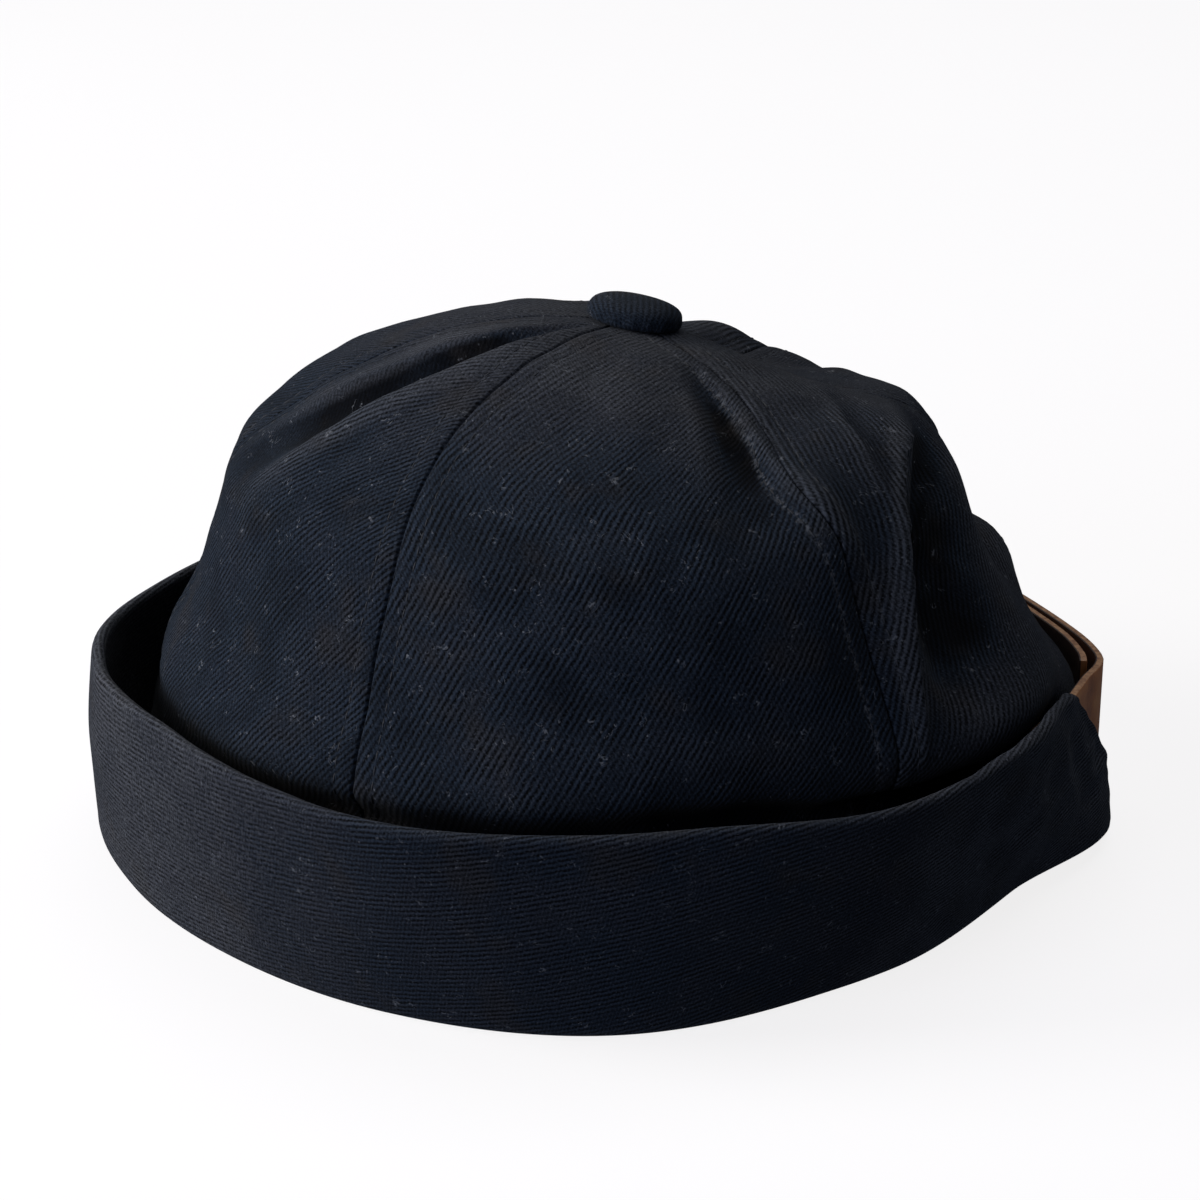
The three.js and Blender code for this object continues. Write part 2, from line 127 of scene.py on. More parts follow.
# Narrow creases that only the cloth's surface has, along a path of (angle, share) points. The crest stands out by
# a height over a width. To the right of the path the cloth drops sharply by a depth and comes back over a width
CREASES = (
    ("back crease", (
        (103, 0.26), (103.5, 0.34), (103.5, 0.39), (104.5, 0.445), (106, 0.502), (110, 0.557), (117, 0.6),
        (128, 0.622), (144, 0.632),
    ), 0.9, 5, 5.0, 14),
    ("pull behind the side seam", ((106.5, 0.54), (109.5, 0.62), (114.5, 0.69), (131, 0.765)), 0.4, 4, 1.1, 10),
    ("far edge of the front groove", (
        (-21, 0.54), (-18, 0.615), (-14, 0.667), (-9.5, 0.723), (-7.5, 0.78), (-2.5, 0.835), (3, 0.9),
    ), 0.3, 6, 0.7, 14),
    ("slack beside the side seam", ((98, 0.36), (95.5, 0.5), (88, 0.62)), -0.5, 3, 0, 1),
    ("pull below the side dent", ((99, 0.46), (92, 0.58), (84, 0.66)), 0.8, 6, 0, 1),
    ("lap over the rim", (
        (80, 0.262), (91, 0.252), (98, 0.25), (106, 0.257), (114, 0.263), (124, 0.27), (143, 0.265),
    ), 3.2, 9, 0, 1),
    ("second back crease", ((131, 0.3), (134, 0.45), (137, 0.62)), 0.9, 6, 0, 1),
    ("pull beside the button", ((47, 0.7), (50, 0.85), (52, 0.96)), -0.7, 5, 0, 1),
    ("low slack in the front", ((6, 0.26), (4, 0.39), (2, 0.52)), -0.9, 11, 0, 1),
    ("low slack at the left", ((52, 0.28), (55, 0.41), (57, 0.54)), -0.8, 13, 0, 1),
    ("right crease", ((-117, 0.68), (-115, 0.48), (-113, 0.28)), 0.9, 5, 2, 14),
)
CREASE_TAPER = 0.8
CREASE_WALL = 1.2

# Line behind the cuff's rim, as (angle, share), below which the crown is tucked in and its dye painted dark as
# shade
TUCK_LINE = (
    (-20, 0.257), (10, 0.246), (35, 0.243), (55, 0.244), (68, 0.252), (80, 0.244), (91, 0.222), (100, 0.22),
    (114, 0.223), (126, 0.231),
)

# Sewing: the seam's edges roll in, and a row of stitches runs along each side of it
SEAM_ROLL = 0.5
SEAM_ROLL_WIDTH = 0.28
STITCH_OFF = 4.2
STITCH_GROOVE = 0.12
STITCH_GROOVE_WIDTH = 0.7
STITCH_PITCH = 3.0
STITCH_LENGTH = 2.1
STITCH_RADIUS = 0.17
SEAM_LENGTH = 118
ALLOWANCE_SWELL = 0.12
ALLOWANCE_SWELL_WIDTH = 1.4
SLACK = 0.45
FINE_SLACK = 0.25 * SLACK
HEM_TUCK = 5.5
HEM_TUCK_SOFTNESS = 0.018
ALLOWANCE_DEPTH = 2.0
ALLOWANCE_WIDTH = 1.2
PANEL_COLUMNS = 132
PANEL_ROWS = 112
EDGE_CROWDING = 0.85

# Cuff
RIM = (
    (-146, 104), (-120, 101), (-90, 100.5), (-55, 94.5), (-22, 104.8), (8, 102.2), (38, 106.5),
    (65, 103.5), (92, 103), (118, 102.3), (146, 100.8),
)
CUFF_HEIGHT = 46.0
CUFF_MEAN_REACH = 98
CUFF_FOOT_END = 148
CUFF_RIM_END = 130
CUFF_END_BOW = 1.7
CUFF_BELLY = 1.2
CUFF_CORNER_DROP = 3
CUFF_CORNER_SPAN = 4
CUFF_SAG = ("sag of the rim", (0, 2), (97, 97), 28, 26, -3.0)
CUFF_SLACK = 0.42
CUFF_END_SLACK = 0.45
CUFF_COLUMNS = 300
CUFF_WALL_ROWS = 34
CUFF_END_CROWDING = 0.75

# Creases of the band: as those of the crown, with the share of the way up the band
CUFF_CREASES = (
    ("edge crease", (0.2, 0.6, 1.05), (146, 139.5, 128), 2.4, 2.2, 0.7),
    ("pull beside the end", (0.1, 0.5, 1.05), (139, 133, 123), 3, 3.5, -0.9),
    ("slack before the end", (0.05, 0.5, 0.95), (124, 121, 113), 5, 5, 0.8),
    ("low pull", (0.02, 0.2, 0.5), (112, 106, 98), 3, 4, -0.7),
    ("low pull beside it", (0.02, 0.2, 0.42), (119, 114, 107), 3, 3, -0.5),
    ("belly at the front", (0.2, 0.7, 1.2), (-30, -30, -30), 28, 28, 1.3),
)

# Strap: plan routes of the two bands
STRAP_THICKNESS = 1.7
STRAP_WIDTH = 18.5
STRAP_LOW = 20.0
STRAP_STEPS = 72
OUTER_ROUTE = (
    (77.8, 54.3), (73.5, 63), (69.5, 69.5), (65.2, 75.4), (61.6, 80.4), (58, 86.2), (53.6, 89.8), (42, 93.2),
    (20, 95.8), (0, 96.4), (-20, 95.6), (-36, 93.9),
)
INNER_ROUTE = (
    (-79, 55.2), (-74, 63.3), (-70, 69.8), (-65.2, 75.4), (-60.4, 82), (-53, 87), (-36, 91.2), (-18, 93.2),
    (0, 94.1), (20, 93.3), (40, 90.8), (51, 87.3), (55, 84.8),
)
BUTTON_RADIUS = 9.8
SEAT_GAP = 0.3

# Twill: spacing of its ridges, and the angle that they make with the panel's width and with the cuff's length
WALE_PITCH = 1.2
YARN_PITCH = 0.8
WALE_ANGLE = 57
CUFF_WALE_ANGLE = 15
CUFF_FRONT_WALE_ANGLE = 4
CUFF_WALE_SHARE = 0.87

# Wear of the crown's cloth, as values from 0 to 1 that the twill reads. SEAM_FLUFF is a row of the seams' angles
# at the hem and a row of how much fluff each of them holds
WEAR_PER_MM = 0.5
MOST_WEAR = 0.45
TOP_PRESSED = 0.4
SIDE_FADE = 0.3
TOP_FADE = 0.42
BACK_FADE_SHARE = 0.8
SEAM_FLUFF = ((29, 102.5, 154), (0.08, 0.7, 0.2))
FLUFF_WIDTH = 0.6
TOP_FLUFF = 0.13

# Camera of the photograph
VIEW_AZIMUTH = 60
VIEW_ELEVATION = 22
VIEW_DISTANCE = 0.650
VIEW_TARGET = Vector((0, 0, 0.050))
VIEW_LENS = 93.3


def smoothstep(x, low, high):
    t = np.clip((x - low) / (high - low), 0, 1)
    return t * t * (3 - 2 * t)


def wrapped(angle):
    return (np.asarray(angle, float) + 180) % 360 - 180


def through_rows(keys, values, at, ends=(None, None)):
    """Smooth curve through a table. values has one row per key, and one column or one for each place asked."""
    keys = np.asarray(keys, float)
    values = np.asarray(values, float)
    at = np.asarray(at, float)
    if values.ndim == 1:
        values = np.repeat(values[:, None], at.size, 1)
    spans = np.diff(keys)[:, None]
    slopes = np.empty_like(values)
    slopes[1:-1] = (values[2:] - values[:-2]) / (spans[1:] + spans[:-1])
    slopes[0] = (values[1] - values[0]) / spans[0] if ends[0] is None else ends[0]
    slopes[-1] = (values[-1] - values[-2]) / spans[-1] if ends[1] is None else ends[1]
    i = np.clip(np.searchsorted(keys, at, side="left") - 1, 0, len(keys) - 2)
    column = np.arange(at.size)
    span = spans[i, 0]
    t = np.clip((at - keys[i]) / span, 0, 1)
    rise = t * t * (3 - 2 * t)
    level = values[i, column] * (1 - rise) + values[i + 1, column] * rise
    from_left = t * (1 - t) ** 2 * span * slopes[i, column]
    from_right = t * t * (1 - t) * span * slopes[i + 1, column]
    return level + from_left - from_right


def round_the_cap(angles, values, angle):
    return through_rows(angles, values, wrapped(angle), (0, 0))


def foot_reach(angle):
    return round_the_cap([a for a, _ in FOOT], [r for _, r in FOOT], angle)


def hem_reach(angle):
    return foot_reach(angle) - CUFF_CLOTH - HEM_GAP


SECTIONS = {name: [row[i] for row in SECTION_ROWS] for i, name in enumerate(SECTION_COLUMNS)}
STATION_ANGLES = np.array([a for a, _ in STATIONS], float)
HEM_AT_STATIONS = hem_reach(STATION_ANGLES)


def left_side_way():
    """Way from the hem along the left side to each section, by which the panels are shared out."""
    side = [name for _, name in STATIONS].index("left_side")
    reach = np.array([HEM_AT_STATIONS[side], *SECTIONS["left_side"]])
    height = np.array([0, *SECTIONS["height"]])
    return np.concatenate([[0], np.cumsum(np.hypot(np.diff(reach), np.diff(height)))])


CROWN_WAY = left_side_way()[-1]
SHARES = left_side_way() / CROWN_WAY


def crown_form(angle, share):
    """Points of the smooth crown, with no folds in it, in millimetres."""
    reaches = np.stack([
        through_rows(SHARES, [hem, *SECTIONS[name]], share)
        for (_, name), hem in zip(STATIONS, HEM_AT_STATIONS)
    ])
    hem_shape = hem_reach(angle) - round_the_cap(STATION_ANGLES, HEM_AT_STATIONS, angle)
    reach = round_the_cap(STATION_ANGLES, reaches, angle) + hem_shape * (1 - smoothstep(share, 0, HEM_BLEND))
    lean = through_rows(SHARES, [0, *SECTIONS["lean"]], share)
    height = through_rows(SHARES, [0, *SECTIONS["height"]], share)
    drop = TIP_SLOPE * reach * np.cos(np.radians(angle - TIP_TOWARDS)) * smoothstep(share, TIP_FROM, TIP_TO)
    turn = np.radians(angle)
    return np.stack([reach * np.sin(turn), lean - reach * np.cos(turn), height - drop], -1)


def crown_normal(angle, share):
    step_angle, step_share = 0.5, 0.004
    low = np.minimum(share, 1 - step_share)
    across = crown_form(angle + step_angle, share) - crown_form(angle - step_angle, share)
    up = crown_form(angle, low + step_share) - crown_form(angle, low)
    out = np.cross(across, up)
    return out / np.linalg.norm(out, axis=-1, keepdims=True)


def fold_depth(folds, angle, share):
    """How far the folds of a table push the cloth out at each place."""
    depth = np.zeros_like(share)
    for _, shares, angles, before, after, height in folds:
        along = np.clip((share - shares[0]) / (shares[-1] - shares[0]), 0, 1)
        away = wrapped(angle - through_rows(shares, angles, np.clip(share, shares[0], shares[-1])))
        off = np.clip(np.abs(away) / np.where(away < 0, before, after), 0, 1)
        depth += height * np.sin(np.pi * along) ** FOLD_TAPER * np.cos(np.pi / 2 * off) ** 2
    return depth


def foot_curl(angle):
    return fold_depth((FOOT_CURL,), angle, np.zeros_like(angle))


def crease_depth(angle, share):
    """How far the creases push the cloth out, from how far each place lies to the left or right of their paths."""
    reach = through_rows(SHARES, [HEM_AT_STATIONS[0], *SECTIONS["left_side"]], share)
    depth = np.zeros_like(share)
    for _, path, crest, crest_width, drop, drop_width in CREASES:
        off = np.full_like(share, 1000.0)
        along = np.zeros_like(share)
        right = np.zeros(share.shape, bool)
        for i, ((angle_0, share_0), (angle_1, share_1)) in enumerate(zip(path, path[1:])):
            x, y = np.radians(wrapped(angle - angle_0)) * reach, (share - share_0) * CROWN_WAY
            step_x, step_y = np.radians(angle_1 - angle_0) * reach, (share_1 - share_0) * CROWN_WAY
            t = np.clip((x * step_x + y * step_y) / (step_x ** 2 + step_y ** 2), 0, 1)
            here = np.hypot(x - t * step_x, y - t * step_y)
            nearer = here < off
            off = np.where(nearer, here, off)
            along = np.where(nearer, (i + t) / (len(path) - 1), along)
            right = np.where(nearer, x * step_y > y * step_x, right)
        past = np.where(right, off, 0)
        sunk = (1 - np.exp(-past / CREASE_WALL)) * (1 - smoothstep(past, 0.3 * drop_width, drop_width))
        depth += (crest * np.exp(-(off / crest_width) ** 2) - drop * sunk) * np.sin(np.pi * along) ** CREASE_TAPER
    return depth


def slack(points, seed, shortest, longest, waves=40):
    """Gentle random unevenness of slack cloth, from -1 to 1, as a sum of plane waves in space."""
    draw = np.random.default_rng(seed)
    total = np.zeros(len(points))
    for _ in range(waves):
        direction = draw.normal(size=3)
        direction /= np.linalg.norm(direction)
        length = draw.uniform(shortest, longest)
        total += np.sin(2 * np.pi * (points @ direction) / length + draw.uniform(0, 2 * np.pi))
    return total / math.sqrt(2 * waves)


def select_nothing():
    bpy.ops.object.select_all(action="DESELECT")


def new_grid(name, columns, rows):
    """Flat grid of one unit, ready to be moved into the cloth's form."""
    select_nothing()
    bpy.ops.mesh.primitive_grid_add(x_subdivisions=columns, y_subdivisions=rows, size=1, calc_uvs=False)
    piece = bpy.context.object
    piece.name = piece.data.name = name
    flat = np.empty(len(piece.data.vertices) * 3)
    piece.data.vertices.foreach_get("co", flat)
    flat = flat.reshape(-1, 3) + 0.5
    return piece, flat[:, 0], flat[:, 1]


def move_vertices(piece, points):
    """Sets each vertex of a piece, from millimetres."""
    piece.data.vertices.foreach_set("co", (np.asarray(points) * MM).ravel())
    piece.data.update()


def lay_cloth(piece, along, up, turn=0):
    """Writes the flat cloth's own coordinates, in millimetres, to the UV map that the twill follows."""
    loops = np.empty(len(piece.data.loops), int)
    piece.data.loops.foreach_get("vertex_index", loops)
    c, s = math.cos(math.radians(turn)), math.sin(math.radians(turn))
    flat = np.stack([c * along - s * up, s * along + c * up], -1)[loops]
    layer = piece.data.uv_layers.new(name="cloth")
    layer.data.foreach_set("uv", flat.ravel())


def paint(piece, name, values):
    """A value at each vertex for the material to read."""
    layer = piece.data.attributes.new(name, "FLOAT", "POINT")
    layer.data.foreach_set("value", np.asarray(values, float))


def apply_modifier(piece, kind, **settings):
    modifier = piece.modifiers.new(kind.lower(), kind)
    for key, value in settings.items():
        setattr(modifier, key, value)
    select_nothing()
    piece.select_set(True)
    bpy.context.view_layer.objects.active = piece
    bpy.ops.object.modifier_apply(modifier=modifier.name)


def shade_smooth(piece, angle=None):
    select_nothing()
    piece.select_set(True)
    bpy.context.view_layer.objects.active = piece
    if angle is None:
        bpy.ops.object.shade_smooth()
    else:
        bpy.ops.object.shade_smooth_by_angle(angle=math.radians(angle))


def finish_piece(piece, slot, material, *nodes):
    """Gives a piece its material, and puts it in the place of its solids. The slot is not used."""
    piece.data.materials.clear()
    piece.data.materials.append(material)
    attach(piece, "root")
    if nodes:
        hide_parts(*nodes)
    return piece


def linear(hex_colour):
    """sRGB hex value as a linear colour."""
    parts = [int(hex_colour[i:i + 2], 16) / 255 for i in (1, 3, 5)]
    return [p / 12.92 if p <= 0.04045 else ((p + 0.055) / 1.055) ** 2.4 for p in parts] + [1.0]


def add_node(tree, kind, settings=None, **links):
    """Adds one node: settings are its properties, and links set or connect its inputs by name or number."""
    node = tree.nodes.new(kind)
    for key, value in (settings or {}).items():
        setattr(node, key, value)
    for key, value in links.items():
        numbered = key[0] == "i" and key[1:].isdigit()
        socket = node.inputs[int(key[1:]) if numbered else key.replace("_", " ")]
        if isinstance(value, bpy.types.NodeSocket):
            tree.links.new(value, socket)
        else:
            socket.default_value = value
    return node


def set_stops(ramp, *stops):
    """Gives a colour ramp its (position, hex colour) stops."""
    while len(ramp.elements) < len(stops):
        ramp.elements.new(1.0)
    for element, (position, colour) in zip(ramp.elements, stops):
        element.position = position
        element.color = linear(colour)


def new_material(name):
    material = bpy.data.materials.new(name)
    material.use_nodes = True
    tree = material.node_tree
    return material, tree, tree.nodes["Principled BSDF"]


# Settings that many nodes share
BANDS = {"wave_type": "BANDS", "bands_direction": "X", "wave_profile": "SIN"}
SOFT_ENDS = {"interpolation_type": "SMOOTHSTEP"}
VALUE_MIX = {"data_type": "FLOAT"}
COLOUR_MIX = {"data_type": "RGBA", "blend_type": "MIX"}
COLOUR_PRODUCT = {"data_type": "RGBA", "blend_type": "MULTIPLY"}
PRODUCT = {"operation": "MULTIPLY"}
LARGER = {"operation": "MAXIMUM"}


def twill_material():
    """Heavy cotton twill, dyed blue-black: soft, broken diagonal ridges, faded grey where it rubs, with lint."""
    material, tree, shader = new_material("black_cotton_twill")
    uv = add_node(tree, "ShaderNodeUVMap", {"uv_map": "cloth"}).outputs[0]
    # Ridges, turned so that they climb at the wale angle, and weaker in places
    turned_uv = add_node(
        tree, "ShaderNodeMapping", Vector=uv, Rotation=(0, 0, math.radians(90 - WALE_ANGLE))
    ).outputs[0]
    wale = add_node(
        tree, "ShaderNodeTexWave", BANDS, Vector=turned_uv, Scale=2 * math.pi / 20 / WALE_PITCH, Distortion=1.9,
        Detail=2.0, Detail_Scale=1.7, Detail_Roughness=0.6,
    ).outputs["Fac"]
    soft = add_node(tree, "ShaderNodeTexNoise", Vector=uv, Scale=0.16, Detail=3.0).outputs["Fac"]
    uneven = add_node(tree, "ShaderNodeMapRange", SOFT_ENDS, Value=soft, i1=0.36, i2=0.6, i3=0.4).outputs[0]
    pressed = add_node(tree, "ShaderNodeAttribute", {"attribute_name": "pressed"}).outputs["Fac"]
    raised = add_node(tree, "ShaderNodeMapRange", SOFT_ENDS, Value=pressed, i3=1.0, i4=0.1).outputs[0]
    firm = add_node(tree, "ShaderNodeMath", PRODUCT, i0=uneven, i1=raised).outputs[0]
    ridge = add_node(tree, "ShaderNodeMix", VALUE_MIX, Factor=firm, i2=0.5, i3=wale).outputs[0]
    # Yarn that floats over the ridges, and its fibres, drawn about twice as coarse as in real cloth so as to show
    crossed = add_node(
        tree, "ShaderNodeMapping", Vector=uv, Rotation=(0, 0, math.radians(28 - WALE_ANGLE))
    ).outputs[0]
    twist = add_node(
        tree, "ShaderNodeTexWave", BANDS, Vector=crossed, Scale=2 * math.pi / 20 / YARN_PITCH, Distortion=2.6,
        Detail=2.0, Detail_Scale=1.3,
    ).outputs["Fac"]
    float_noise = add_node(tree, "ShaderNodeTexNoise", Vector=uv, Scale=1.3, Detail=2.0).outputs["Fac"]
    loops = add_node(tree, "ShaderNodeMapRange", SOFT_ENDS, Value=float_noise, i1=0.3, i2=0.7).outputs[0]
    floats = add_node(tree, "ShaderNodeMix", VALUE_MIX, Factor=0.5, i2=twist, i3=loops).outputs[0]
    fibre_noise = add_node(tree, "ShaderNodeTexNoise", Vector=uv, Scale=3.0, Detail=2.0).outputs["Fac"]
    fibres = add_node(tree, "ShaderNodeMapRange", SOFT_ENDS, Value=fibre_noise, i1=0.3, i2=0.7).outputs[0]
    yarn = add_node(tree, "ShaderNodeMix", VALUE_MIX, Factor=0.45, i2=floats, i3=fibres).outputs[0]
    weave = add_node(tree, "ShaderNodeMix", VALUE_MIX, Factor=0.5, i2=ridge, i3=yarn).outputs[0]
    light = add_node(tree, "ShaderNodeValToRGB", i0=weave)
    set_stops(light.color_ramp, (0.2, "#2a2a2a"), (0.46, "#a8a8a8"), (0.74, "#ffffff"))
    # Dye: blue-black, washed out to grey where the piece is painted as faded, and near black where shade is
    # painted into the folds and behind the cuff's rim
    fade_and_shade = add_node(tree, "ShaderNodeAttribute", {"attribute_name": "fade_and_shade"}).outputs["Fac"]
    cloud_noise = add_node(tree, "ShaderNodeTexNoise", Vector=uv, Scale=0.05, Detail=3.0).outputs["Fac"]
    clouds = add_node(
        tree, "ShaderNodeMapRange", SOFT_ENDS, Value=cloud_noise, i1=0.35, i2=0.65, i3=-0.1, i4=0.1
    ).outputs[0]
    washed_and_shaded = add_node(
        tree, "ShaderNodeMath", {"operation": "ADD", "use_clamp": True}, i0=fade_and_shade, i1=clouds
    ).outputs[0]
    dye_and_painted_shade = add_node(tree, "ShaderNodeValToRGB", i0=washed_and_shaded)
    # The stop at 0 is painted shade, not dye
    set_stops(dye_and_painted_shade.color_ramp, (0.0, "#0a0d13"), (0.3, "#232b36"), (0.65, "#2c2f37"), (1.0, "#434448"))
    # Dust, as faint warm patches
    dust_noise = add_node(
        tree, "ShaderNodeTexNoise", Vector=uv, Scale=0.045, Detail=3.0, Roughness=0.6
    ).outputs["Fac"]
    dust = add_node(
        tree, "ShaderNodeMapRange", SOFT_ENDS, Value=dust_noise, i1=0.52, i2=0.68, i4=0.4
    ).outputs[0]
    dusty = add_node(
        tree, "ShaderNodeMix", COLOUR_MIX, i0=dust, i6=dye_and_painted_shade.outputs[0], i7=linear("#38332f")
    ).outputs[2]
    # Rubbed ridges are lighter
    wear = add_node(tree, "ShaderNodeAttribute", {"attribute_name": "wear"}).outputs["Fac"]
    rubbed = add_node(tree, "ShaderNodeMix", COLOUR_MIX, i0=wear, i6=dusty, i7=linear("#4e5056")).outputs[2]
    cloth = add_node(tree, "ShaderNodeMix", COLOUR_PRODUCT, i0=1.0, i6=rubbed, i7=light.outputs[0]).outputs[2]
    # Fuzz: raised fibres that catch the light, more of them where the cloth is faded
    hair_noise = add_node(
        tree, "ShaderNodeTexNoise", Vector=uv, Scale=1.9, Detail=3.0, Roughness=0.7
    ).outputs["Fac"]
    hair = add_node(tree, "ShaderNodeMapRange", SOFT_ENDS, Value=hair_noise, i1=0.54, i2=0.7, i4=0.8).outputs[0]
    hairs = add_node(tree, "ShaderNodeMath", PRODUCT, i0=washed_and_shaded, i1=hair).outputs[0]
    fuzzy = add_node(tree, "ShaderNodeMix", COLOUR_MIX, i0=hairs, i6=cloth, i7=linear("#565962")).outputs[2]
    # Lint: thin curls where a noise crosses its middle value inside sparse patches, specks, and fluff on sewing
    curls = add_node(tree, "ShaderNodeTexNoise", Vector=uv, Scale=0.34, Detail=3.0, Distortion=0.8).outputs["Fac"]
    middle = add_node(tree, "ShaderNodeMath", {"operation": "SUBTRACT"}, i0=curls, i1=0.5).outputs[0]
    distance = add_node(tree, "ShaderNodeMath", {"operation": "ABSOLUTE"}, i0=middle).outputs[0]
    line = add_node(
        tree, "ShaderNodeMapRange", SOFT_ENDS, Value=distance, i1=0.002, i2=0.018, i3=0.5, i4=0.0
    ).outputs[0]
    patches = add_node(tree, "ShaderNodeTexNoise", Vector=uv, Scale=0.23, Detail=3.0, Roughness=0.7).outputs["Fac"]
    sparse = add_node(tree, "ShaderNodeMapRange", SOFT_ENDS, Value=patches, i1=0.57, i2=0.65).outputs[0]
    lint_curl = add_node(tree, "ShaderNodeMath", PRODUCT, i0=line, i1=sparse).outputs[0]
    cells = add_node(tree, "ShaderNodeTexVoronoi", Vector=uv, Scale=0.27).outputs["Distance"]
    dots = add_node(
        tree, "ShaderNodeMapRange", SOFT_ENDS, Value=cells, i1=0.02, i2=0.07, i3=0.7, i4=0.0
    ).outputs[0]
    wider = add_node(tree, "ShaderNodeMapRange", SOFT_ENDS, Value=patches, i1=0.42, i2=0.58).outputs[0]
    specks = add_node(tree, "ShaderNodeMath", PRODUCT, i0=dots, i1=wider).outputs[0]
    fluff = add_node(tree, "ShaderNodeAttribute", {"attribute_name": "fluff"}).outputs["Fac"]
    tuft_noise = add_node(
        tree, "ShaderNodeTexNoise", Vector=uv, Scale=0.9, Detail=3.0, Roughness=0.7
    ).outputs["Fac"]
    tufts = add_node(
        tree, "ShaderNodeMapRange", SOFT_ENDS, Value=tuft_noise, i1=0.46, i2=0.62, i4=0.6
    ).outputs[0]
    lint_fluff = add_node(tree, "ShaderNodeMath", PRODUCT, i0=fluff, i1=tufts).outputs[0]
    loose = add_node(tree, "ShaderNodeMath", LARGER, i0=lint_curl, i1=specks).outputs[0]
    lint = add_node(tree, "ShaderNodeMath", LARGER, i0=loose, i1=lint_fluff).outputs[0]
    linted = add_node(tree, "ShaderNodeMix", COLOUR_MIX, i0=lint, i6=fuzzy, i7=linear("#75777c")).outputs[2]
    tree.links.new(linted, shader.inputs["Base Color"])
    # Relief: ridges about a fifth of a millimetre high, and the lint on them
    relief = add_node(
        tree, "ShaderNodeMath", {"operation": "MULTIPLY_ADD"}, i0=lint, i1=0.5, i2=weave
    ).outputs[0]
    bump = add_node(tree, "ShaderNodeBump", Strength=0.8, Distance=0.22 * MM, Height=relief).outputs[0]
    tree.links.new(bump, shader.inputs["Normal"])
    shader.inputs["Roughness"].default_value = 0.92
    shader.inputs["IOR"].default_value = 1.5
    shader.inputs["Specular IOR Level"].default_value = 0.05
    shader.inputs["Sheen Weight"].default_value = 0.02
    shader.inputs["Sheen Roughness"].default_value = 0.5
    return material


def leather_material():
    """Vegetable-tanned leather: smooth tan grain side with fine pores, cut edges left raw and pale, and the flesh
    side painted dark as shade.
    """
    material, tree, shader = new_material("tan_vegetable_leather")
    place = add_node(tree, "ShaderNodeTexCoord").outputs["Object"]
    # Mottling about a centimetre across
    mottle = add_node(
        tree, "ShaderNodeTexNoise", Vector=place, Scale=90.0, Detail=5.0, Roughness=0.6
    ).outputs["Fac"]
    tan = add_node(tree, "ShaderNodeValToRGB", i0=mottle)
    set_stops(tan.color_ramp, (0.3, "#96552a"), (0.5, "#bf7842"), (0.72, "#d6985f"))
    # Raw edges, with fibres of about a millimetre
    raw = add_node(tree, "ShaderNodeTexNoise", Vector=place, Scale=900.0, Detail=4.0).outputs["Fac"]
    pale = add_node(tree, "ShaderNodeValToRGB", i0=raw)
    set_stops(pale.color_ramp, (0.35, "#855a3a"), (0.65, "#b4875f"))
    edge = add_node(tree, "ShaderNodeAttribute", {"attribute_name": "cut_edge"}).outputs["Fac"]
    colour = add_node(
        tree, "ShaderNodeMix", COLOUR_MIX, i0=edge, i6=tan.outputs[0], i7=pale.outputs[0]
    ).outputs[2]
    # The flesh side, which faces the cap, is painted dark as the shade between the two bands
    flesh_shade = add_node(tree, "ShaderNodeAttribute", {"attribute_name": "shaded_flesh_side"}).outputs["Fac"]
    shaded_colour = add_node(tree, "ShaderNodeMix", COLOUR_MIX, i0=flesh_shade, i6=colour, i7=linear("#37241a")).outputs[2]
    tree.links.new(shaded_colour, shader.inputs["Base Color"])
    # Grain cells about 0.8 mm across
    grain = add_node(tree, "ShaderNodeTexVoronoi", {"feature": "SMOOTH_F1"}, Vector=place, Scale=1250.0).outputs[0]
    relief = add_node(tree, "ShaderNodeMath", {"operation": "ADD"}, i0=grain, i1=raw).outputs[0]
    bump = add_node(tree, "ShaderNodeBump", Strength=0.35, Distance=0.15 * MM, Height=relief).outputs[0]
    tree.links.new(bump, shader.inputs["Normal"])
    rough = add_node(tree, "ShaderNodeMapRange", Value=mottle, i1=0.3, i2=0.7, i3=0.5, i4=0.68).outputs[0]
    tree.links.new(rough, shader.inputs["Roughness"])
    shader.inputs["IOR"].default_value = 1.5
    return material


def brass_material():
    """Aged brass: dull yellow metal, rougher and darker where it is tarnished."""
    material, tree, shader = new_material("aged_brass")
    place = add_node(tree, "ShaderNodeTexCoord").outputs["Object"]
    # Tarnish in spots of two or three millimetres
    tarnish = add_node(tree, "ShaderNodeTexNoise", Vector=place, Scale=420.0, Detail=5.0).outputs["Fac"]
    colour = add_node(tree, "ShaderNodeValToRGB", i0=tarnish)
    set_stops(colour.color_ramp, (0.35, "#5f4c2a"), (0.6, "#a98c52"))
    tree.links.new(colour.outputs[0], shader.inputs["Base Color"])
    rough = add_node(tree, "ShaderNodeMapRange", Value=tarnish, i1=0.3, i2=0.7, i3=0.5, i4=0.28).outputs[0]
    tree.links.new(rough, shader.inputs["Roughness"])
    shader.inputs["Metallic"].default_value = 1.0
    return material


def thread_material():
    """Black sewing thread: two twisted plies with a slight gloss."""
    material, tree, shader = new_material("black_sewing_thread")
    place = add_node(tree, "ShaderNodeTexCoord").outputs["Object"]
    # Plies of about half a millimetre
    twist = add_node(tree, "ShaderNodeTexNoise", Vector=place, Scale=2200.0, Detail=2.0).outputs["Fac"]
    colour = add_node(tree, "ShaderNodeValToRGB", i0=twist)
    set_stops(colour.color_ramp, (0.3, "#0b0c10"), (0.7, "#26282e"))
    tree.links.new(colour.outputs[0], shader.inputs["Base Color"])
    shader.inputs["Roughness"].default_value = 0.6
    shader.inputs["Specular IOR Level"].default_value = 0.3
    return material


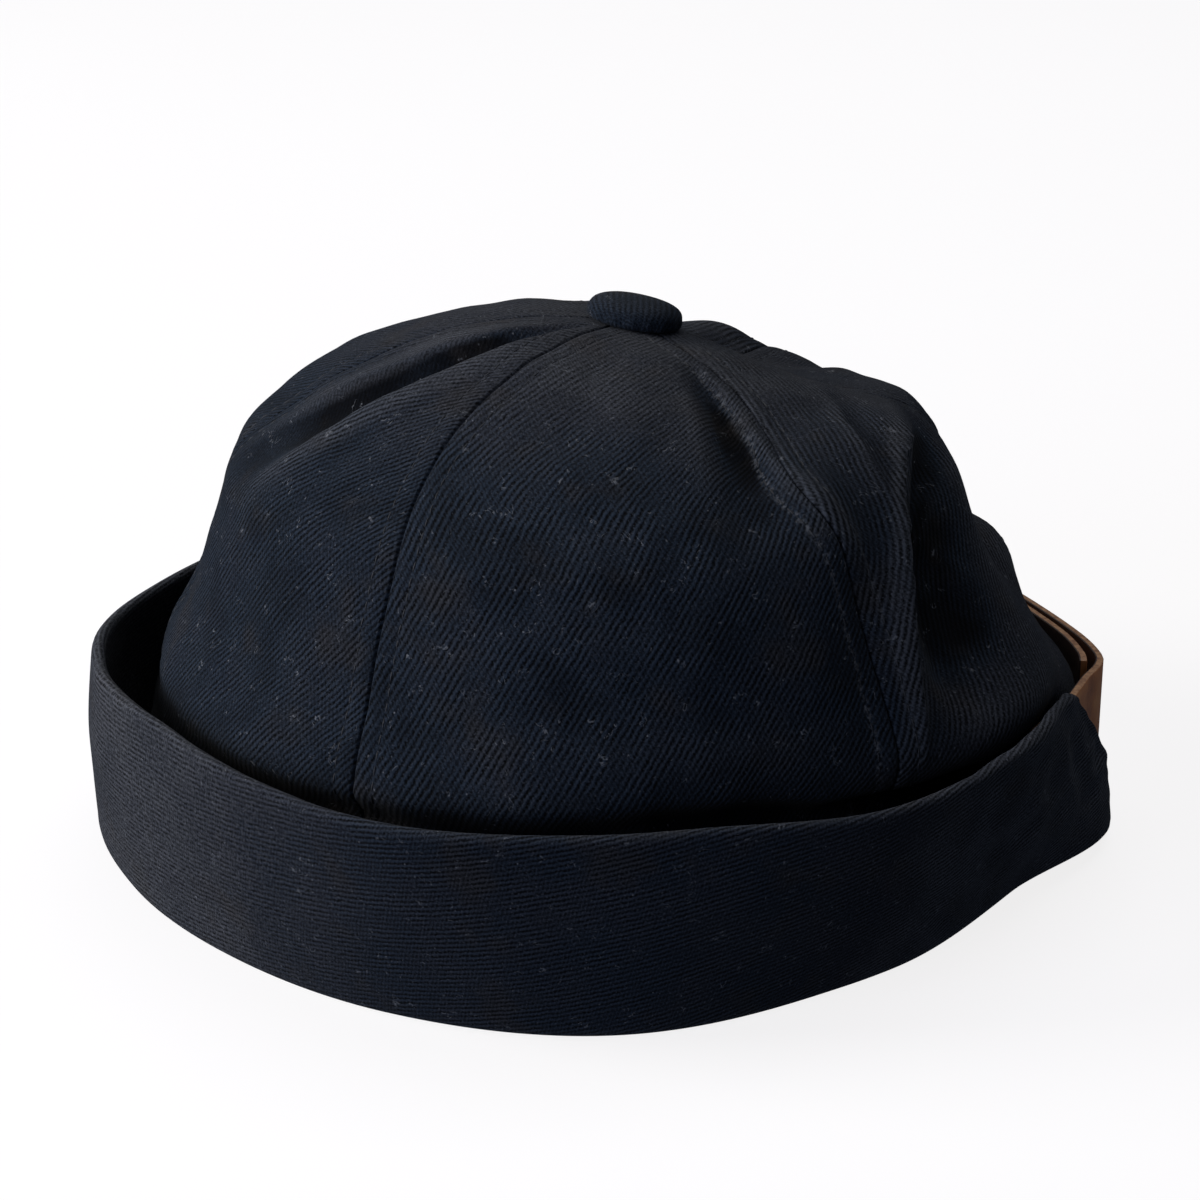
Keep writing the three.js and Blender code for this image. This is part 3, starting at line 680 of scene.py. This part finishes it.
def floor_material():
    """Matt white studio floor, very slightly uneven in tone."""
    material, tree, shader = new_material("white_studio_floor")
    place = add_node(tree, "ShaderNodeTexCoord").outputs["Object"]
    tone = add_node(tree, "ShaderNodeTexNoise", Vector=place, Scale=1.5, Detail=2.0).outputs["Fac"]
    colour = add_node(tree, "ShaderNodeValToRGB", i0=tone)
    set_stops(colour.color_ramp, (0.3, "#757476"), (0.7, "#79787a"))
    tree.links.new(colour.outputs[0], shader.inputs["Base Color"])
    shader.inputs["Roughness"].default_value = 0.9
    shader.inputs["Specular IOR Level"].default_value = 0.0
    shader.inputs["Emission Color"].default_value = linear("#fffefe")
    shader.inputs["Emission Strength"].default_value = 0.84
    return material


twill = twill_material()
leather = leather_material()
brass = brass_material()
thread = thread_material()


def crowded(t, crowding):
    """Spreads columns so that they crowd towards both edges."""
    return t - crowding * np.sin(2 * np.pi * t) / (2 * np.pi)


def panel_place(start, stop, across, up):
    """Angle of each place of a panel between its two seams, and the panel's width there."""
    from_angle = through_rows(SEAM_SHARES, start, up)
    to_angle = through_rows(SEAM_SHARES, stop, up)
    middle = crown_form((from_angle + to_angle) / 2, up)
    reach = np.hypot(middle[:, 0], middle[:, 1] - SECTIONS["lean"][-1] * up)
    seam = np.degrees(SEAM_GAP / 2 / reach)
    angle = from_angle + seam + (to_angle - from_angle - 2 * seam) * across
    width = np.radians(to_angle - from_angle) * reach
    return angle, width


def tuck_line(angle):
    return np.interp(wrapped(angle), [a for a, _ in TUCK_LINE], [s for _, s in TUCK_LINE])


def panel_lift(angle, width, across, up):
    """How far the cloth of a panel stands out from the smooth crown."""
    puff = PANEL_PUFF * np.sin(np.pi * across) * np.sin(np.pi * up)
    near = np.minimum(across, 1 - across) * width
    sewn = smoothstep(width, 9, 24) * smoothstep(up, 0.0, 0.1)
    roll = -SEAM_ROLL * np.exp(-(near / SEAM_ROLL_WIDTH) ** 2)
    swell = ALLOWANCE_SWELL * np.exp(-((near - STITCH_OFF / 2) / ALLOWANCE_SWELL_WIDTH) ** 2)
    pull = 1 + 0.35 * np.cos(2 * np.pi * up * SEAM_LENGTH / STITCH_PITCH)
    groove = -STITCH_GROOVE * pull * np.exp(-((near - STITCH_OFF) / STITCH_GROOVE_WIDTH) ** 2)
    folds = fold_depth(FOLDS, angle, up) + crease_depth(angle, up)
    round_left = wrapped(angle)
    tucked = (0.25 + 0.75 * smoothstep(round_left, -15, 30)) * smoothstep(round_left, -75, -35)
    tucked = tucked * (1 - smoothstep(round_left, 126, 140)) * smoothstep(up, 0.1, 0.2)
    below = 1 - smoothstep(up - tuck_line(angle), -HEM_TUCK_SOFTNESS, HEM_TUCK_SOFTNESS)
    tuck = -HEM_TUCK * tucked * below
    return puff + folds + tuck + roll * smoothstep(up, 0.0, 0.05) + (swell + groove) * sewn


def panel_points(start, stop, across, up):
    angle, width = panel_place(start, stop, across, up)
    lift = panel_lift(angle, width, across, up)
    form = crown_form(angle, up)
    uneven = SLACK * slack(form, 11, 13, 40) + FINE_SLACK * slack(form, 12, 5, 11)
    lift = lift + uneven * smoothstep(up, 0.05, 0.2) * (1 - 0.6 * smoothstep(up, 0.8, 1))
    points = form + crown_normal(angle, up) * lift[:, None]
    on_fold = HEM_LIFT * (1 - smoothstep(np.abs(wrapped(angle)), 138, 146))
    points[:, 2] = np.where(up <= 0, on_fold, points[:, 2])
    points[:, 2] += foot_curl(angle) * (1 - smoothstep(up, 0, CROWN_CURL_REACH))
    return points, angle, width


def stands_out(angle, up, width):
    """How far the folds stand out from the cloth some millimetres around them, or lie deeper where negative."""
    def depth(a, s):
        return fold_depth(FOLDS, a, s) + crease_depth(a, s)
    beside, above = np.degrees(6 / np.maximum(width, 12)), 0.045
    level = depth(angle - beside, up) + depth(angle + beside, up)
    around = level + depth(angle, up - above) + depth(angle, up + above)
    return depth(angle, up) - around / 4


def paint_panel(piece, start, stop, across, up, angle, width):
    """Paints where a panel is rubbed, pressed flat, faded, darkened with painted shade, and fluffy."""
    paint(piece, "wear", np.clip(WEAR_PER_MM * stands_out(angle, up, width), 0, MOST_WEAR))
    round_left = wrapped(angle)
    # Painted shade: the dye is painted darker in the front groove and the other folds and creases of the front and
    # left, and on the foot behind the cuff's rim
    groove = -fold_depth(FOLDS[:1], angle + 3, up)
    sunk = np.maximum(groove, -fold_depth(FOLDS, angle, up) - crease_depth(angle, up))
    shade_in_folds = np.clip((sunk - 0.6) / 2, 0, 1) * smoothstep(up, 0.3, 0.4) * smoothstep(round_left, -50, -25)
    painted_shade = np.maximum(shade_in_folds, 1 - smoothstep(up - tuck_line(angle), -0.01, 0.022))
    # Past the back crease the painted shade gives out again
    shade_ends_at = np.interp(up, (0.52, 0.61, 0.65, 0.74), (118, 134, 134, 112))
    painted_shade = painted_shade * (1 - smoothstep(np.abs(round_left) - shade_ends_at, 0, 17))
    paint(piece, "pressed", np.maximum(np.clip(groove / 0.8, 0, 1), TOP_PRESSED * smoothstep(up, 0.62, 0.85)))
    behind = smoothstep(np.abs(round_left), 90, 118)
    worn_out = np.maximum(smoothstep(up, 0.6, 0.82), BACK_FADE_SHARE * behind)
    # The faded value is held near 0 where shade is painted, so the dye shows near black there
    paint(piece, "fade_and_shade", (SIDE_FADE + TOP_FADE * worn_out) * (1 - painted_shade))
    # Fluff clings to the sewing, most of all beside the side seams, and thinly to the top
    fluff = [np.interp(abs(wrapped(seam[0])), *SEAM_FLUFF) for seam in (start, stop)]
    from_start, from_stop = across * width - STITCH_OFF, (1 - across) * width - STITCH_OFF
    on_sewing = 0.4 * fluff[0] * np.exp(-(from_start / FLUFF_WIDTH) ** 2)
    on_sewing = on_sewing + fluff[1] * np.exp(-(from_stop / FLUFF_WIDTH) ** 2)
    paint(piece, "fluff", np.maximum(on_sewing, TOP_FLUFF * smoothstep(up, 0.6, 0.85) * (1 - painted_shade)))


def crown_panel(node, start, stop):
    """One crown panel: a sheet between two seams, with rolled edges, folds and slack, of real cloth thickness."""
    piece, t, up = new_grid("twill_" + node, PANEL_COLUMNS, PANEL_ROWS)
    across = crowded(t, EDGE_CROWDING)
    points, angle, width = panel_points(start, stop, across, up)
    move_vertices(piece, points)
    along = (across - 0.5) * width
    rise = crown_form(np.full(200, (start[0] + stop[0]) / 2), np.linspace(0, 1, 200))
    way = np.concatenate([[0], np.cumsum(np.linalg.norm(np.diff(rise, axis=0), axis=1))])
    height = np.interp(up, np.linspace(0, 1, 200), way)
    lay_cloth(piece, along, height)
    paint_panel(piece, start, stop, across, up, angle, width)
    apply_modifier(piece, "SOLIDIFY", thickness=CLOTH * MM, offset=-1, use_even_offset=True)
    near = np.minimum(across, 1 - across) * width
    depth = CLOTH + ALLOWANCE_DEPTH * np.exp(-(near / ALLOWANCE_WIDTH) ** 2)
    walled = np.concatenate([points, points - crown_normal(angle, up) * depth[:, None]])
    walled[:, 2] = np.maximum(walled[:, 2], 0)
    move_vertices(piece, walled)
    shade_smooth(piece, 60)
    finish_piece(piece, "twill", twill, node)
    return piece


def stitch_row(start, stop, side):
    """Places and directions of the stitches that run beside one seam of a panel."""
    up = np.linspace(0.02, 0.96, 900)
    _, width = panel_place(start, stop, np.full_like(up, 0.5), up)
    across = STITCH_OFF / width
    across = across if side == "start" else 1 - across
    points, angle, width = panel_points(start, stop, across, up)
    keep = width > 14
    points, angle, up = points[keep], angle[keep], up[keep]
    normals = crown_normal(angle, up)
    way = np.concatenate([[0], np.cumsum(np.linalg.norm(np.diff(points, axis=0), axis=1))])
    spots = np.arange(STITCH_PITCH / 2, way[-1], STITCH_PITCH)
    at = np.stack([np.interp(spots, way, points[:, k]) for k in range(3)], -1)
    out = np.stack([np.interp(spots, way, normals[:, k]) for k in range(3)], -1)
    ahead = np.stack([np.interp(spots + 0.5, way, points[:, k]) for k in range(3)], -1) - at
    return at, ahead, out


def stitch_shape():
    """One stitch, modelled once: a slim rounded thread, pointed where it goes into the cloth."""
    select_nothing()
    bpy.ops.mesh.primitive_uv_sphere_add(segments=8, ring_count=6, radius=1)
    one = bpy.context.object
    bpy.ops.object.mode_set(mode="EDIT")
    bpy.ops.mesh.select_all(action="SELECT")
    bpy.ops.transform.resize(value=(STITCH_RADIUS, STITCH_RADIUS, STITCH_LENGTH / 2))
    bpy.ops.object.mode_set(mode="OBJECT")
    corners = np.array([v.co for v in one.data.vertices])
    faces = [list(p.vertices) for p in one.data.polygons]
    bpy.data.objects.remove(one, do_unlink=True)
    corners[:, 0] -= 0.45 * STITCH_RADIUS * (corners[:, 2] / (STITCH_LENGTH / 2)) ** 2
    return corners, faces


def sew(name, rows):
    """Copies the stitch along every row into one piece."""
    corners, faces = stitch_shape()
    points, polygons = [], []
    for at, ahead, out in rows:
        for spot, along, normal in zip(at, ahead, out):
            along = along / np.linalg.norm(along)
            side = np.cross(along, normal)
            side /= np.linalg.norm(side)
            normal = np.cross(side, along)
            base = len(points)
            points.extend(spot + corners[:, :1] * normal + corners[:, 1:2] * side + corners[:, 2:] * along)
            polygons.extend([base + i for i in face] for face in faces)
    mesh = bpy.data.meshes.new(name)
    mesh.from_pydata([tuple(p * MM) for p in points], [], polygons)
    piece = bpy.data.objects.new(name, mesh)
    bpy.context.scene.collection.objects.link(piece)
    select_nothing()
    piece.select_set(True)
    bpy.context.view_layer.objects.active = piece
    bpy.ops.object.mode_set(mode="EDIT")
    bpy.ops.mesh.select_all(action="SELECT")
    bpy.ops.mesh.normals_make_consistent(inside=False)
    bpy.ops.object.mode_set(mode="OBJECT")
    shade_smooth(piece)
    return finish_piece(piece, "twill", thread)


def mirrored(seam, turn=0):
    return tuple(turn - angle for angle in seam)


PANELS = (
    ("crown_panel_front", mirrored(SEAMS["front"]), SEAMS["front"]),
    ("crown_panel_front_left", SEAMS["front"], SEAMS["side"]),
    ("crown_panel_back_left", SEAMS["side"], SEAMS["back"]),
    ("crown_panel_back", SEAMS["back"], mirrored(SEAMS["back"], 360)),
    ("crown_panel_back_right", mirrored(SEAMS["back"]), mirrored(SEAMS["side"])),
    ("crown_panel_front_right", mirrored(SEAMS["side"]), mirrored(SEAMS["front"])),
)


def cuff_profile():
    """The band's cut-through as rows: level up the wall, side from 1 outside to -1 inside, and edge rounding."""
    wall = np.concatenate([[0.045], np.linspace(0.08, 0.93, CUFF_WALL_ROWS), [0.95, 0.965]])
    rows = [(0.0, 0.2), (0.004, 0.62), (0.014, 0.86)] + [(level, 1.0) for level in wall]
    rim = [(0.965 + 0.035 * math.sin(a), math.cos(a)) for a in np.linspace(0, math.pi, 9)[1:-1]]
    inside = [(level, -1.0) for level in wall[::-1]]
    fold = -1 - (HEM_GAP + HEM_LAP) / (CUFF_CLOTH / 2)
    return rows + rim + inside + [(0.02, -1.0), (0.006, fold), (0.0, fold)]


def lay_cuff_cloth(piece, profile, row, angle):
    """Lays the band out flat. It was cut a little off the straight, so its ridges climb less at the front."""
    steps = np.diff(np.array(profile), axis=0) * (CUFF_HEIGHT, CUFF_CLOTH / 2)
    developed = np.concatenate([[0], np.cumsum(np.linalg.norm(steps, axis=1))])[row]
    fine, step = np.linspace(-160, 160, 641, retstep=True)
    to_side = smoothstep(fine, -5, 75)
    climb = np.radians(CUFF_FRONT_WALE_ANGLE + (CUFF_WALE_ANGLE - CUFF_FRONT_WALE_ANGLE) * to_side)
    steeper = math.tan(math.radians(CUFF_WALE_ANGLE)) - np.tan(climb)
    eased = np.cumsum(steeper) * math.radians(step) * CUFF_MEAN_REACH
    along = np.radians(angle) * CUFF_MEAN_REACH / CUFF_WALE_SHARE
    across = (developed + np.interp(angle, fine, eased)) / CUFF_WALE_SHARE
    lay_cloth(piece, along, across, WALE_ANGLE - CUFF_WALE_ANGLE)


def paint_cuff(piece, points, angle, level):
    """Paints the band's rubbed edges and left end, and its faded, fluffy front."""
    edges = 0.15 * smoothstep(level, 0.93, 1.0) + 0.2 * (1 - smoothstep(level, 0.0, 0.06))
    rubbed = 0.3 + 0.5 * np.clip(slack(points, 41, 8, 24), -0.6, 1)
    paint(piece, "wear", np.maximum(edges, rubbed * smoothstep(angle, 90, 104)))
    front = (1 - smoothstep(angle, -5, 45)) * smoothstep(angle, -85, -50)
    faded = np.maximum(np.maximum(0.88 * front, 0.35 * (angle < 0)), smoothstep(angle, 72, 115))
    paint(piece, "fade_and_shade", 0.4 + 0.55 * faded)
    paint(piece, "fluff", 0.3 * front)
    paint(piece, "pressed", 0.8 * (1 - smoothstep(angle + 25 * level, -40, -15)) * smoothstep(angle, -75, -50))


def cuff():
    """Turned-up cuff: a folded band with a rolled rim and soft ends, open at the back over the strap."""
    profile = cuff_profile() + [cuff_profile()[0]]
    piece, t, up = new_grid("twill_cuff", CUFF_COLUMNS, len(profile) - 1)
    row = np.rint(up * (len(profile) - 1)).astype(int)
    level = np.array([p[0] for p in profile])[row]
    side = np.array([p[1] for p in profile])[row]
    end = CUFF_FOOT_END + (CUFF_RIM_END - CUFF_FOOT_END) * level ** CUFF_END_BOW
    across = crowded(t, CUFF_END_CROWDING)
    angle = -end + 2 * end * across
    from_end = np.minimum(1, (end - np.abs(angle)) / CUFF_CORNER_SPAN)
    height = CUFF_HEIGHT * level - CUFF_CORNER_DROP * (1 - from_end) ** 2 * level
    height = height + fold_depth((CUFF_SAG,), angle, np.ones_like(level)) * level
    height = height + foot_curl(angle) * (1 - smoothstep(level, 0, CUFF_CURL_REACH))
    rim = through_rows([a for a, _ in RIM], [r for _, r in RIM], angle)
    belly = CUFF_BELLY * np.sin(np.pi * level)
    outer = foot_reach(angle) + (rim - foot_reach(angle)) * level + belly
    into_end = np.clip(np.radians(end - np.abs(angle)) * CUFF_MEAN_REACH / (CUFF_CLOTH / 2), 0, 1)
    half = CUFF_CLOTH / 2 * np.sqrt(1 - (1 - into_end) ** 2)
    reach = outer - CUFF_CLOTH / 2 + half * side
    turn = np.radians(angle)
    out = np.stack([np.sin(turn), -np.cos(turn), np.zeros_like(turn)], -1)
    points = out * reach[:, None]
    points[:, 2] = height
    free = smoothstep(level, 0.05, 0.3)
    uneven = CUFF_SLACK * slack(points, 23, 14, 50) * free
    uneven = uneven + CUFF_END_SLACK * slack(points, 29, 6, 16) * smoothstep(np.abs(angle), 92, 115) * free
    uneven = uneven + fold_depth(CUFF_CREASES, angle, level)
    points += out * uneven[:, None]
    move_vertices(piece, points)
    lay_cuff_cloth(piece, profile, row, angle)
    paint_cuff(piece, points, angle, level)
    select_nothing()
    piece.select_set(True)
    bpy.context.view_layer.objects.active = piece
    bpy.ops.object.mode_set(mode="EDIT")
    bpy.ops.mesh.select_all(action="SELECT")
    bpy.ops.mesh.remove_doubles(threshold=0.02 * MM)
    bpy.ops.mesh.dissolve_degenerate(threshold=0.005 * MM)
    bpy.ops.mesh.normals_make_consistent(inside=False)
    bpy.ops.object.mode_set(mode="OBJECT")
    shade_smooth(piece)
    finish_piece(piece, "twill", twill, "cuff")
    return piece


def turned(name, rings, sides):
    """Round piece about +Z at the origin, grown ring by ring from (radius, height) rows, in millimetres."""
    select_nothing()
    radius, height = rings[0]
    bpy.ops.mesh.primitive_circle_add(
        vertices=sides, radius=radius * MM, fill_type="TRIFAN", location=(0, 0, height * MM)
    )
    piece = bpy.context.object
    piece.name = piece.data.name = name
    bpy.ops.object.transform_apply(location=True, rotation=False, scale=False)
    bpy.ops.object.mode_set(mode="EDIT")
    bpy.ops.mesh.select_all(action="SELECT")
    for new_radius, new_height in rings[1:]:
        bpy.ops.mesh.extrude_region_move(TRANSFORM_OT_translate={"value": (0, 0, (new_height - height) * MM)})
        bpy.ops.transform.resize(
            value=(new_radius / radius, new_radius / radius, 1), center_override=(0, 0, new_height * MM)
        )
        radius, height = new_radius, new_height
    bpy.ops.mesh.select_all(action="SELECT")
    bpy.ops.mesh.normals_make_consistent(inside=False)
    bpy.ops.object.mode_set(mode="OBJECT")
    return piece


def vertices_of(piece):
    points = np.empty(len(piece.data.vertices) * 3)
    piece.data.vertices.foreach_get("co", points)
    return points.reshape(-1, 3) / MM


def button():
    """Covered button: a low dome whose cloth is drawn under its edge in small tucks."""
    rings = [(2.5, -3.5), (2.6, 0.0), (6.0, -0.3), (8.6, -0.6), (9.4, -0.4), (9.75, 0.4), (9.8, 1.3), (9.6, 2.2)]
    rings += [(9.0, 3.0), (8.0, 3.6), (6.6, 4.05), (5.0, 4.35), (3.2, 4.55), (1.4, 4.62)]
    piece = turned("twill_button", rings, 72)
    points = vertices_of(piece)
    reach = np.hypot(points[:, 0], points[:, 1])
    turn = np.arctan2(points[:, 1], points[:, 0])
    edge = np.exp(-((points[:, 2] - 0.7) / 1.3) ** 2) * smoothstep(reach, 6, 9)
    tucks = 0.22 * np.sin(17 * turn + 0.8 * np.sin(3 * turn)) * edge
    points[:, :2] *= (1 + tucks / np.maximum(reach, 1))[:, None]
    points[:, 2] += np.where(points[:, 2] > 2, 0.16 * np.sin(2 * turn + 0.6) * reach / BUTTON_RADIUS, 0)
    lean = np.radians(TIP_TOWARDS)
    tilt = math.atan(TIP_SLOPE)
    flat = points.copy()
    axis = np.array([math.cos(lean), math.sin(lean), 0])
    along = points @ axis
    c, s = math.cos(tilt), math.sin(tilt)
    points = points * c + np.cross(axis, points) * s + axis * (along * (1 - c))[:, None]
    points += np.array([0, SECTIONS["lean"][-1], SECTIONS["height"][-1] + SEAT_GAP])
    move_vertices(piece, points)
    drawn = 1 + smoothstep(reach, 7, 9) * np.maximum(3.2 - flat[:, 2], 0) / np.maximum(reach, 1)
    lay_cloth(piece, flat[:, 0] * drawn, flat[:, 1] * drawn, 87)
    paint(piece, "wear", 0.08 * smoothstep(flat[:, 2], 2.0, 3.4) * (1 - smoothstep(flat[:, 2], 3.8, 4.8)))
    paint(piece, "fade_and_shade", np.full(len(flat), 0.35))
    paint(piece, "fluff", np.zeros(len(flat)))
    paint(piece, "pressed", np.full(len(flat), 0.5))
    apply_modifier(piece, "SUBSURF", levels=1, render_levels=1)
    shade_smooth(piece)
    return finish_piece(piece, "twill", twill, "crown_button")


def route_points(route, count):
    """Evenly spaced points along a smooth plan route."""
    corners = np.array(route, float)
    way = np.concatenate([[0], np.cumsum(np.sqrt(np.linalg.norm(np.diff(corners, axis=0), axis=1)))])
    fine = np.linspace(0, way[-1], 800)
    line = np.stack([through_rows(way, corners[:, k], fine) for k in range(2)], -1)
    length = np.concatenate([[0], np.cumsum(np.linalg.norm(np.diff(line, axis=0), axis=1))])
    even = np.linspace(0, length[-1], count)
    return np.stack([np.interp(even, length, line[:, k]) for k in range(2)], -1), length[-1]


def strap(name, node, route, round_end):
    """Leather band on edge, drawn out along its route from one upright edge, with softened cut edges."""
    line, length = route_points(route, STRAP_STEPS)
    middle = STRAP_LOW + STRAP_WIDTH / 2
    select_nothing()
    bpy.ops.mesh.primitive_plane_add(size=STRAP_WIDTH * MM)
    piece = bpy.context.object
    piece.name = piece.data.name = name
    bpy.ops.object.mode_set(mode="EDIT")
    bpy.ops.mesh.select_all(action="DESELECT")
    bpy.ops.object.mode_set(mode="OBJECT")
    for v in piece.data.vertices:
        v.select = v.co.x > 0
    bpy.ops.object.mode_set(mode="EDIT")
    bpy.ops.mesh.delete(type="VERT")
    bpy.ops.mesh.select_all(action="SELECT")
    bpy.ops.mesh.subdivide(number_cuts=5)
    bpy.ops.object.mode_set(mode="OBJECT")
    for v in piece.data.vertices:
        v.co = (line[0][0] * MM, line[0][1] * MM, middle * MM + v.co.y)
    bpy.ops.object.mode_set(mode="EDIT")
    bpy.ops.mesh.select_all(action="SELECT")
    half = 1.0
    for i in range(1, STRAP_STEPS):
        step = line[i] - line[i - 1]
        bpy.ops.mesh.extrude_region_move(TRANSFORM_OT_translate={"value": (step[0] * MM, step[1] * MM, 0)})
        left = (STRAP_STEPS - 1 - i) / (STRAP_STEPS - 1) * length
        past = max(0.0, 1 - left / (0.06 * length)) if round_end else 0.0
        new_half = math.sqrt(1 - (0.9 * past) ** 2)
        if new_half != half:
            bpy.ops.transform.resize(
                value=(1, 1, new_half / half), center_override=(line[i][0] * MM, line[i][1] * MM, middle * MM)
            )
            half = new_half
    bpy.ops.mesh.select_all(action="SELECT")
    bpy.ops.mesh.normals_make_consistent(inside=False)
    bpy.ops.object.mode_set(mode="OBJECT")
    apply_modifier(piece, "SOLIDIFY", thickness=STRAP_THICKNESS * MM, offset=0, use_even_offset=True)
    apply_modifier(piece, "BEVEL", width=0.35 * MM, segments=2, limit_method="ANGLE", angle_limit=math.radians(50))
    normals = np.empty(len(piece.data.polygons) * 3)
    piece.data.polygons.foreach_get("normal", normals)
    normals = normals.reshape(-1, 3)
    centres = np.empty(len(piece.data.polygons) * 3)
    piece.data.polygons.foreach_get("center", centres)
    outward = (normals * centres.reshape(-1, 3))[:, :2].sum(1)
    # Marks the cut edges, and the flesh side that the leather paints dark as shade
    for mark, faces in (("cut_edge", np.abs(normals[:, 2]) > 0.45), ("shaded_flesh_side", outward < -0.3 * 95 * MM)):
        layer = piece.data.attributes.new(mark, "FLOAT", "FACE")
        layer.data.foreach_set("value", faces.astype(float))
    shade_smooth(piece, 35)
    return finish_piece(piece, "leather", leather, node)


def stud():
    """Plain stud: base inside the bands, shank through them and a low domed head outside."""
    outer_back = next(y for x, y in OUTER_ROUTE if x == 0)
    inner_back = next(y for x, y in INNER_ROUTE if x == 0)
    inside = inner_back - STRAP_THICKNESS / 2 - SEAT_GAP
    outside = outer_back + STRAP_THICKNESS / 2 + SEAT_GAP
    rings = [(4.0, inside - 0.8), (4.0, inside), (2.0, inside), (2.0, outside), (4.6, outside)]
    rings += [(5.0, outside + 0.3), (5.0, outside + 0.8), (4.6, outside + 1.4), (3.6, outside + 2.0)]
    rings += [(2.2, outside + 2.4), (0.8, outside + 2.58)]
    piece = turned("brass_stud", rings, 48)
    points = vertices_of(piece)
    middle = STRAP_LOW + STRAP_WIDTH / 2
    move_vertices(piece, np.stack([points[:, 0], points[:, 2], middle - points[:, 1]], -1))
    shade_smooth(piece, 40)
    return finish_piece(piece, "brass", brass, "strap_stud")


def aim(thing, place, target):
    thing.location = place
    thing.rotation_mode = "QUATERNION"
    thing.rotation_quaternion = (Vector(target) - Vector(place)).to_track_quat("-Z", "Y")


def softbox(name, side, towards, height, size, power, colour):
    """Square studio light placed by how far it is to the camera's right, towards it, and up, in metres."""
    turn = math.radians(VIEW_AZIMUTH)
    right = Vector((math.cos(turn), math.sin(turn), 0))
    near = Vector((math.sin(turn), -math.cos(turn), 0))
    data = bpy.data.lights.new(name, "AREA")
    data.shape = "SQUARE"
    data.size = size
    data.energy = power
    data.color = linear(colour)[:3]
    light = bpy.data.objects.new(name, data)
    bpy.context.scene.collection.objects.link(light)
    aim(light, right * side + near * towards + Vector((0, 0, height)), (0, 0, 0.05))
    return light


def studio():
    """Camera of the photograph, a white floor and soft light from the upper left."""
    turn, rise = math.radians(VIEW_AZIMUTH), math.radians(VIEW_ELEVATION)
    back = Vector((math.sin(turn) * math.cos(rise), -math.cos(turn) * math.cos(rise), math.sin(rise)))
    camera = bpy.data.objects.new("camera", bpy.data.cameras.new("camera"))
    bpy.context.scene.collection.objects.link(camera)
    camera.data.lens = VIEW_LENS
    camera.data.sensor_width = 36
    camera.data.clip_start, camera.data.clip_end = 0.01, 100
    aim(camera, VIEW_TARGET + back * VIEW_DISTANCE, VIEW_TARGET)
    bpy.context.scene.camera = camera

    select_nothing()
    bpy.ops.mesh.primitive_circle_add(vertices=96, radius=8, fill_type="NGON", location=(0, 0, 0))
    floor = bpy.context.object
    floor.name = floor.data.name = "studio_floor"
    floor.data.materials.append(floor_material())
    floor.visible_diffuse = False
    floor.visible_glossy = False

    softbox("key_light", -1.7, 0.0, 0.95, 0.9, 31, "#fffdf8")
    softbox("top_light", 0.2, -0.5, 1.9, 1.6, 14, "#ffffff")
    softbox("fill_light", -1.3, 1.15, 0.5, 1.0, 19, "#dfe7ff")
    world = bpy.data.worlds.new("studio_surround")
    world.use_nodes = True
    surround = world.node_tree.nodes["Background"]
    surround.inputs["Color"].default_value = linear("#c3d2ee")
    surround.inputs["Strength"].default_value = 0.14
    bpy.context.scene.world = world
    bpy.context.scene.view_settings.view_transform = "Standard"


studio()
for panel_name, panel_start, panel_stop in PANELS:
    crown_panel(panel_name, panel_start, panel_stop)
cuff()
button()
strap("leather_strap_outer", "strap_outer", OUTER_ROUTE, True)
strap("leather_strap_inner", "strap_inner", INNER_ROUTE, False)
stud()
sew("seam_stitches", [
    stitch_row(panel_start, panel_stop, panel_side)
    for _, panel_start, panel_stop in PANELS for panel_side in ("start", "stop")
])
